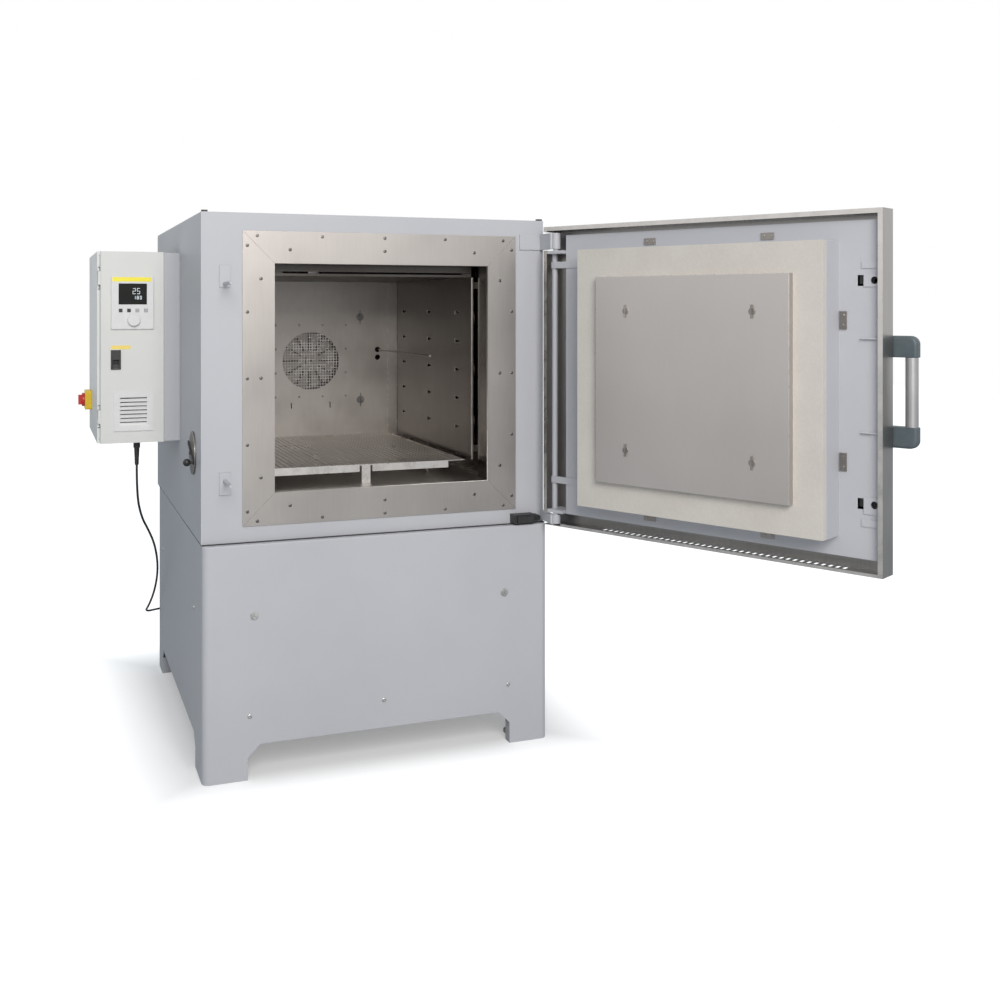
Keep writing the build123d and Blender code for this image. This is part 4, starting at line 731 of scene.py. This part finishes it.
# The perforated plate takes the floor's lighter steel, painted light.
coat = shelf_tree.nodes.new("GeometryNodeSetMaterial")
coat.inputs["Material"].default_value = lit_floor_steel
shelf_tree.links.new(moved.outputs["Geometry"], coat.inputs["Geometry"])
shelf_tree.links.new(coat.outputs["Geometry"], leave.inputs["Plate"])
shelf = bpy.data.objects.new("floor_shelf_look", bpy.data.meshes.new("floor_shelf_look"))
collection.objects.link(shelf)
maker = shelf.modifiers.new("plate", "NODES")
maker.node_group = shelf_tree
field_middle = (plate_low + plate_high) / 2
maker[plate_inputs["Columns"].identifier] = hole_columns
maker[plate_inputs["Rows"].identifier] = hole_rows
maker[plate_inputs["Pitch"].identifier] = hole_pitch
maker[plate_inputs["Middle"].identifier] = (field_middle.x, field_middle.y, plate_low.z)
shelf_plate = worked_mesh(shelf)
shelf.modifiers.clear()
shelf.data = shelf_plate

field_half = Vector((hole_columns * hole_pitch / 2, hole_rows * hole_pitch / 2, 0))
field_low = field_middle - field_half
field_high = field_middle + field_half
rim_work = bmesh.new()
for low_corner, high_corner in (
    ((plate_low.x, plate_low.y), (plate_high.x, field_low.y)),
    ((plate_low.x, field_high.y), (plate_high.x, plate_high.y)),
    ((plate_low.x, field_low.y), (field_low.x, field_high.y)),
    ((field_high.x, field_low.y), (plate_high.x, field_high.y)),
):
    add_block(rim_work, (*low_corner, plate_low.z), (*high_corner, plate_high.z))
# The apron in three lengths, the foot between them and the two rails.
apron_low = shelf_high.z - apron_depth
for left, right, base, top in (
    (shelf_low.x, foot_middle - foot_half - foot_slot, apron_low, shelf_high.z),
    (foot_middle - foot_half, foot_middle + foot_half, shelf_low.z, shelf_high.z - foot_slot_top),
    (foot_middle + foot_half + foot_slot, apron_right, apron_low, shelf_high.z),
    (foot_middle - foot_half - foot_slot, foot_middle + foot_half + foot_slot,
     shelf_high.z - foot_slot_top, shelf_high.z),
):
    add_block(rim_work, (left, shelf_low.y, base), (right, plate_low.y, top))
rail_inset = 0.012
rail_setback = 0.16
rail_end = 0.01
for rail_left in (shelf_low.x + rail_inset, apron_right - rail_inset):
    add_block(
        rim_work, (rail_left, plate_low.y + rail_setback, shelf_low.z),
        (rail_left + shelf_sheet, shelf_high.y - rail_end, plate_low.z),
    )
shelf_rim = made_piece("floor_shelf_rim", rim_work, brushed_edge)
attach(shelf, "carcass")
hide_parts("floor_shelf")
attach(shelf_rim, "carcass")

# Damper
# A browned steel disc on the left wall with a black lever that turns the air flap's shaft.
browned = surface_finish(
    "browned_steel", ((0.125, 0.110, 0.100), (0.190, 0.172, 0.158)), 1, (0.34, 0.48),
    30, (90, 90, 90), 0.4, 0.05, 500,
)
edged_copy("damper_plate", 0.0005, browned, zinc_highlight_edge)
dress("damper_lever", black_plastic)

# Hinge brackets, latch keepers and door switch
# Bent steel angles in the casing's colour, screwed to the front sheet. The keeper studs and the
# switch body stand on them.
edged_copy("hinge_brackets", 0.0006, paint, paint_highlight_edge)
# The keepers' rounded edges take the dark screw steel, painted shade that draws the dark line under their
# shelves.
edged_copy("latch_keepers", 0.0006, paint, dark_screw)
dress("door_switch", black_plastic)

# Door
# A brushed stainless shell closed by a painted pan. The pan carries a painted case with a block
# of ceramic fibre, and a stainless plug plate in front that sits in the mouth when it is shut.
shell_steel = surface_finish(
    "door_shell_stainless", ((0.330, 0.322, 0.315), (0.400, 0.391, 0.384)), 1, (0.28, 0.40),
    3, (200, 200, 12), 0.3, 0.04, 300,
)
plug_steel = surface_finish(
    "plug_stainless", ((0.513, 0.484, 0.464), (0.556, 0.526, 0.507)), 1, (0.36, 0.44),
    2.2, (120, 120, 12), 0.12, 0.04, 300,
)
shell_mesh = edged_copy("door_shell", 0.0008, shell_steel, brushed_edge).data
# The folded lip round the open side takes the brushed steel's lighter edge tone, a painted highlight, so
# it shows brighter than the skin.
door_angle = math.radians(117.1)
door_inward = Vector((-math.sin(door_angle), math.cos(door_angle), 0))
lip_reach = max(vertex.co.dot(door_inward) for vertex in shell_mesh.vertices)
lip_depth = 0.001
for face in shell_mesh.polygons:
    faces_inward = face.normal.dot(door_inward) > straight_on
    if faces_inward and face.center.dot(door_inward) > lip_reach - lip_depth:
        face.material_index = 1
for node in ("door_pan", "door_case"):
    edged_copy(node, 0.0008, paint, paint_highlight_edge)
edged_copy("door_block", 0.0035, fibre, fibre)
edged_copy("door_plug", 0.0012, plug_steel, brushed_edge)
edged_copy("door_clips", 0.0004, wall_steel, chamber_highlight_edge)

# Door hinge arms, latch plates and hooks
# The arms and the latch plates are painted with the door. The hooks are blackened steel, and
# each swings on a pin to hold its keeper stud by the neck.
for node in ("door_hinges", "latch_plates"):
    edged_copy(node, 0.0006, paint, paint_highlight_edge)
for node in ("latch_hook_upper", "latch_hook_lower"):
    edged_copy(node, 0.0004, black_plastic, dark_screw)

# Handle
# Two moulded slate-blue brackets on the door's skin reach past its free edge and hold a brushed
# aluminium tube.
slate = surface_finish(
    "slate_plastic", ((0.066, 0.088, 0.100), (0.086, 0.110, 0.122)), 0, (0.40, 0.52),
    12, (60, 60, 60), 0.5, 0.08, 900,
)
aluminium = surface_finish(
    "aluminium_tube", ((0.39, 0.39, 0.395), (0.47, 0.47, 0.475)), 1, (0.28, 0.38),
    8, (300, 300, 6), 0.3, 0.03, 500,
)
edged_copy("handle_brackets", 0.0020, slate, slate)
dress("handle_tube", aluminium)

# Control box
# A light grey sheet-steel box on a channel bracket. Its front swings on the left edge and
# carries the controls, and a red switch on a yellow plate turns the supply off at the side.
box_paint = surface_finish(
    "light_grey_coat", ((0.675, 0.681, 0.656), (0.710, 0.716, 0.690)), 0, (0.38, 0.50),
    3, (12, 12, 12), 0.3, 0.06, 800,
)
light_plastic = surface_finish(
    "light_grey_plastic", ((0.69, 0.695, 0.69), (0.74, 0.745, 0.74)), 0, (0.34, 0.46),
    14, (50, 50, 50), 0.5, 0.05, 1100,
)
yellow = surface_finish(
    "yellow_plastic", ((0.84, 0.55, 0.02), (0.92, 0.63, 0.03)), 0, (0.28, 0.38),
    20, (60, 60, 60), 0.5, 0.04, 900,
)
red = surface_finish(
    "red_plastic", ((0.56, 0.025, 0.018), (0.66, 0.035, 0.025)), 0, (0.26, 0.36),
    20, (60, 60, 60), 0.5, 0.04, 900,
)
edged_copy("box_bracket", 0.0008, paint, paint_highlight_edge)
# A paler copy of the box's paint: painted light that brightens the housing's side, its ledge and the
# front's rounded edges.
lit_box_coat = surface_finish(
    "lit_pale_grey_coat", ((0.80, 0.806, 0.79), (0.84, 0.846, 0.83)), 0, (0.38, 0.50),
    3, (12, 12, 12), 0.3, 0.06, 800,
)
edged_copy("box_housing", 0.0010, lit_box_coat, lit_box_coat)
edged_copy("box_panel", 0.0010, box_paint, lit_box_coat)
# A dark foam strip on the back of the front fills the gap to the housing: painted shade for the shadow in
# that gap.
gap_shade = surface_finish(
    "gap_shade_foam", ((0.030, 0.030, 0.032), (0.055, 0.055, 0.058)), 0, (0.80, 0.95),
    40, (90, 90, 90), 0.5, 0.30, 900,
)
panel_low, panel_high = (Vector(corner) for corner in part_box("box_panel"))
housing_low, housing_high = (Vector(corner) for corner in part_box("box_housing"))
foam_inset = 0.0045
foam_wide = 0.010
hinge_leaf_wide = 0.012
panel_depth = 0.0079
foam_gap = 0.0005
foam_left = panel_low.x + hinge_leaf_wide
foam_right = panel_high.x - foam_inset
foam_base = panel_low.z + foam_inset
foam_top = panel_high.z - foam_inset
foam_front = panel_low.y + panel_depth
foam_back = housing_low.y - foam_gap
foam_work = bmesh.new()
for left, right, base, top in (
    (foam_left, foam_right, foam_base, foam_base + foam_wide),
    (foam_left, foam_right, foam_top - foam_wide, foam_top),
    (foam_left, foam_left + foam_wide, foam_base + foam_wide, foam_top - foam_wide),
    (foam_right - foam_wide, foam_right, foam_base + foam_wide, foam_top - foam_wide),
):
    add_block(foam_work, (left, foam_front, base), (right, foam_back, top))
gap_shade_strip = made_piece("panel_gasket", foam_work, gap_shade)
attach(gap_shade_strip, "panel")
# The housing's left wall is folded inwards between the hinges, so the mouth shows a light ledge.
ledge_front = 0.0002
ledge_back = 0.0012
ledge_reach = 0.0105
housing_sheet = 0.002
ledge_margin = 0.0125
hinge_near = 0.046
hinge_far = 0.114
ledge_work = bmesh.new()
for base, top in (
    (housing_low.z + ledge_margin, housing_low.z + hinge_near),
    (housing_low.z + hinge_far, housing_high.z - hinge_far),
    (housing_high.z - hinge_near, housing_high.z - ledge_margin),
):
    add_block(
        ledge_work, (housing_low.x + housing_sheet, housing_low.y + ledge_front, base),
        (housing_low.x + ledge_reach, housing_low.y + ledge_back, top),
    )
ledge = made_piece("housing_ledge", ledge_work, lit_box_coat)
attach(ledge, "carcass")
edged_copy("vent", 0.0008, light_plastic, light_plastic)
edged_copy("switch_plate", 0.0010, yellow, yellow)
edged_copy("switch_handle", 0.0015, red, red)
dress("strain_relief", rubber)
dress("rear_gland", black_plastic)

# Controller
# A framed unit in light plastic with a dark screen, four keys and a turning knob. A yellow band
# runs along its top, and a short one marks the rocker switch below.
screen_glass = surface_finish(
    "screen_glass", ((0.004, 0.005, 0.004), (0.009, 0.010, 0.009)), 0, (0.42, 0.52),
    30, (40, 40, 40), 0.5, 0.01, 400,
)
screen_glass.node_tree.nodes["Principled BSDF"].inputs["Specular IOR Level"].default_value = 0.15
key_print = surface_finish(
    "key_rubber", ((0.40, 0.41, 0.42), (0.47, 0.48, 0.49)), 0, (0.50, 0.62),
    30, (60, 60, 60), 0.5, 0.06, 1100,
)
bright_yellow = surface_finish(
    "yellow_band", ((0.90, 0.78, 0.03), (0.95, 0.84, 0.05)), 0, (0.34, 0.42),
    20, (50, 50, 50), 0.5, 0.03, 900,
)
pale_yellow = surface_finish(
    "pale_yellow_band", ((0.88, 0.66, 0.14), (0.92, 0.72, 0.18)), 0, (0.34, 0.42),
    20, (50, 50, 50), 0.5, 0.03, 900,
)
edged_copy("controller", 0.0006, light_plastic, light_plastic)
dress("screen", screen_glass)
for node in ("key_1", "key_2"):
    dress(node, black_plastic)
for node in ("key_3", "key_4"):
    dress(node, key_print)
edged_copy("dial", 0.0008, light_plastic, light_plastic)
frame_mesh = edged_copy("rocker_frame", 0.0006, black_plastic, black_plastic).data
frame_mesh.materials.clear()
frame_mesh.materials.append(black_plastic)
frame_mesh.materials.append(light_plastic)
rocker_low, rocker_high = (Vector(corner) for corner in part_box("rocker_frame"))
for face in frame_mesh.polygons:
    upper_half = face.center.z > (rocker_low.z + rocker_high.z) / 2
    face.material_index = 1 if upper_half else 0
dress("rocker", black_plastic)
band_thick = 0.0003
control_low, control_high = (Vector(corner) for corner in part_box("controller"))
panel_face = rocker_low.y + 0.003
bands = (
    ("controller_band", bright_yellow,
     (control_low.x + 0.004, control_low.y - band_thick, control_high.z - 0.016),
     (control_high.x - 0.009, control_low.y + 0.001, control_high.z - 0.003)),
    ("rocker_band", pale_yellow, (rocker_low.x, panel_face - band_thick, rocker_high.z + 0.002),
     (rocker_high.x + 0.028, panel_face + 0.0005, rocker_high.z + 0.013)),
)
for name, finish, low_corner, high_corner in bands:
    band_work = bmesh.new()
    add_block(band_work, low_corner, high_corner)
    band = made_piece(name, band_work, finish)
    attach(band, "panel")

# Screen digits
# Seven-stroke numbers, the measured value over the set value, drawn as thin lit strips.
strokes = {"0": "abcdef", "1": "bc", "2": "abged", "5": "afgcd", "8": "abcdefg"}
lit_white = surface_finish(
    "lit_white", ((0.60, 0.66, 0.70), (0.68, 0.74, 0.78)), 0, (0.40, 0.50),
    30, (60, 60, 60), 0.5, 0.01, 900,
)
lit_shader = lit_white.node_tree.nodes["Principled BSDF"]
lit_shader.inputs["Emission Color"].default_value = (0.85, 0.93, 1, 1)
lit_shader.inputs["Emission Strength"].default_value = 0.45
screen_low, screen_high = (Vector(corner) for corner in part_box("screen"))
digit_work = bmesh.new()
stroke_wide = 0.0011
stroke_proud = 0.0002
stroke_sunk = 0.0004
digit_gap = 0.004
for text, right_edge, base, tall in (
    ("25", screen_high.x - 0.016, screen_high.z - 0.031, 0.017),
    ("180", screen_high.x - 0.011, screen_high.z - 0.047, 0.010),
):
    wide = tall * 0.5
    step = wide + digit_gap
    for place, digit in enumerate(text):
        left = right_edge - step * (len(text) - place)
        right = left + wide
        middle = base + tall / 2
        top = base + tall
        spans = {
            "a": (left, right, top - stroke_wide, top),
            "b": (right - stroke_wide, right, middle, top),
            "c": (right - stroke_wide, right, base, middle),
            "d": (left, right, base, base + stroke_wide),
            "e": (left, left + stroke_wide, base, middle),
            "f": (left, left + stroke_wide, middle, top),
            "g": (left, right, middle - stroke_wide / 2, middle + stroke_wide / 2),
        }
        for stroke in strokes[digit]:
            x0, x1, z0, z1 = spans[stroke]
            add_block(
                digit_work, (x0, screen_low.y - stroke_proud, z0), (x1, screen_low.y + stroke_sunk, z1)
            )
digits = made_piece("screen_digits", digit_work, lit_white)
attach(digits, "panel")

# Floor, backdrop and light
# A pale floor and a white surround with two soft lights. The camera and the reflections
# see the surround at full white, and the object is lit by a softer one.
bpy.data.objects.remove(screw_head)
bpy.data.objects.remove(tile)
floor_data = bpy.data.meshes.new("floor")
floor_data.from_pydata([(-12, -9, 0), (12, -9, 0), (12, 12, 0), (-12, 12, 0)], [], [(0, 1, 2, 3)])
floor = bpy.data.objects.new("floor", floor_data)
collection.objects.link(floor)
floor_material = bpy.data.materials.new("floor")
floor_material.use_nodes = True
floor_tree = floor_material.node_tree
floor_tree.nodes.clear()
floor_out = floor_tree.nodes.new("ShaderNodeOutputMaterial")
floor_rays = floor_tree.nodes.new("ShaderNodeLightPath")
floor_matt = floor_tree.nodes.new("ShaderNodeBsdfDiffuse")
floor_matt.inputs["Color"].default_value = (0.70, 0.70, 0.70, 1)
floor_white = floor_tree.nodes.new("ShaderNodeEmission")
floor_white.inputs["Color"].default_value = (1, 1, 1, 1)
floor_place = floor_tree.nodes.new("ShaderNodeTexCoord")
floor_parts = floor_tree.nodes.new("ShaderNodeSeparateXYZ")
floor_across = floor_tree.nodes.new("ShaderNodeMath")
floor_across.operation = "ABSOLUTE"
floor_along = floor_tree.nodes.new("ShaderNodeMath")
floor_along.operation = "ABSOLUTE"
floor_reach = floor_tree.nodes.new("ShaderNodeMath")
floor_reach.operation = "MAXIMUM"
# For the camera the floor glows white, less so within a square round the stand's foot: a painted shadow
# next to the object.
floor_shadow_fade = floor_tree.nodes.new("ShaderNodeMapRange")
floor_shadow_fade.inputs["From Min"].default_value = 0.52
floor_shadow_fade.inputs["From Max"].default_value = 0.80
floor_shadow_fade.inputs["To Min"].default_value = 0.30
floor_shadow_fade.inputs["To Max"].default_value = 0.90
floor_tree.links.new(floor_place.outputs["Object"], floor_parts.inputs[0])
floor_tree.links.new(floor_parts.outputs["X"], floor_across.inputs[0])
floor_tree.links.new(floor_parts.outputs["Y"], floor_along.inputs[0])
floor_tree.links.new(floor_across.outputs["Value"], floor_reach.inputs[0])
floor_tree.links.new(floor_along.outputs["Value"], floor_reach.inputs[1])
floor_tree.links.new(floor_reach.outputs["Value"], floor_shadow_fade.inputs["Value"])
floor_share = floor_tree.nodes.new("ShaderNodeMath")
floor_share.operation = "MULTIPLY"
floor_tree.links.new(floor_shadow_fade.outputs["Result"], floor_share.inputs[1])
floor_sum = floor_tree.nodes.new("ShaderNodeAddShader")
floor_tree.links.new(floor_rays.outputs["Is Camera Ray"], floor_share.inputs[0])
floor_tree.links.new(floor_share.outputs["Value"], floor_white.inputs["Strength"])
floor_tree.links.new(floor_matt.outputs["BSDF"], floor_sum.inputs[0])
floor_tree.links.new(floor_white.outputs["Emission"], floor_sum.inputs[1])
floor_tree.links.new(floor_sum.outputs["Shader"], floor_out.inputs["Surface"])
floor_data.materials.append(floor_material)
floor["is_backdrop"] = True
world = bpy.data.worlds.new("world")
scene.world = world
world.use_nodes = True
sky = world.node_tree
sky_out = sky.nodes["World Output"]
soft_sky = sky.nodes["Background"]
soft_sky.inputs["Color"].default_value = (0.78, 0.90, 1, 1)
soft_sky.inputs["Strength"].default_value = 0.39
white_sky = sky.nodes.new("ShaderNodeBackground")
white_sky.inputs["Color"].default_value = (1, 1, 1, 1)
white_sky.inputs["Strength"].default_value = 1
sky_rays = sky.nodes.new("ShaderNodeLightPath")
seen = sky.nodes.new("ShaderNodeMath")
seen.operation = "MAXIMUM"
seen_too = sky.nodes.new("ShaderNodeMath")
seen_too.operation = "MAXIMUM"
sky_mix = sky.nodes.new("ShaderNodeMixShader")
sky.links.new(sky_rays.outputs["Is Camera Ray"], seen.inputs[0])
sky.links.new(sky_rays.outputs["Is Glossy Ray"], seen.inputs[1])
sky.links.new(seen.outputs["Value"], seen_too.inputs[0])
sky.links.new(sky_rays.outputs["Is Transmission Ray"], seen_too.inputs[1])
sky.links.new(seen_too.outputs["Value"], sky_mix.inputs["Fac"])
sky.links.new(soft_sky.outputs["Background"], sky_mix.inputs[1])
sky.links.new(white_sky.outputs["Background"], sky_mix.inputs[2])
sky.links.new(sky_mix.outputs["Shader"], sky_out.inputs["Surface"])
# name, place, aimed at, size, power
lights = (
    ("key_light", (-0.8, -5.6, 3.4), (0.0, -0.5, 0.8), 2.8, 229),
    ("left_light", (-4.6, -2.6, 2.2), (0.2, -0.8, 1.0), 2.4, 3),
)
for name, light_place, target, size, power in lights:
    light_data = bpy.data.lights.new(name, "AREA")
    light_data.color = (1, 0.955, 0.915)
    light_data.size = size
    light_data.energy = power
    light = bpy.data.objects.new(name, light_data)
    light.location = light_place
    light.rotation_euler = (Vector(target) - Vector(light_place)).to_track_quat("-Z", "Y").to_euler()
    collection.objects.link(light)

low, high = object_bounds()
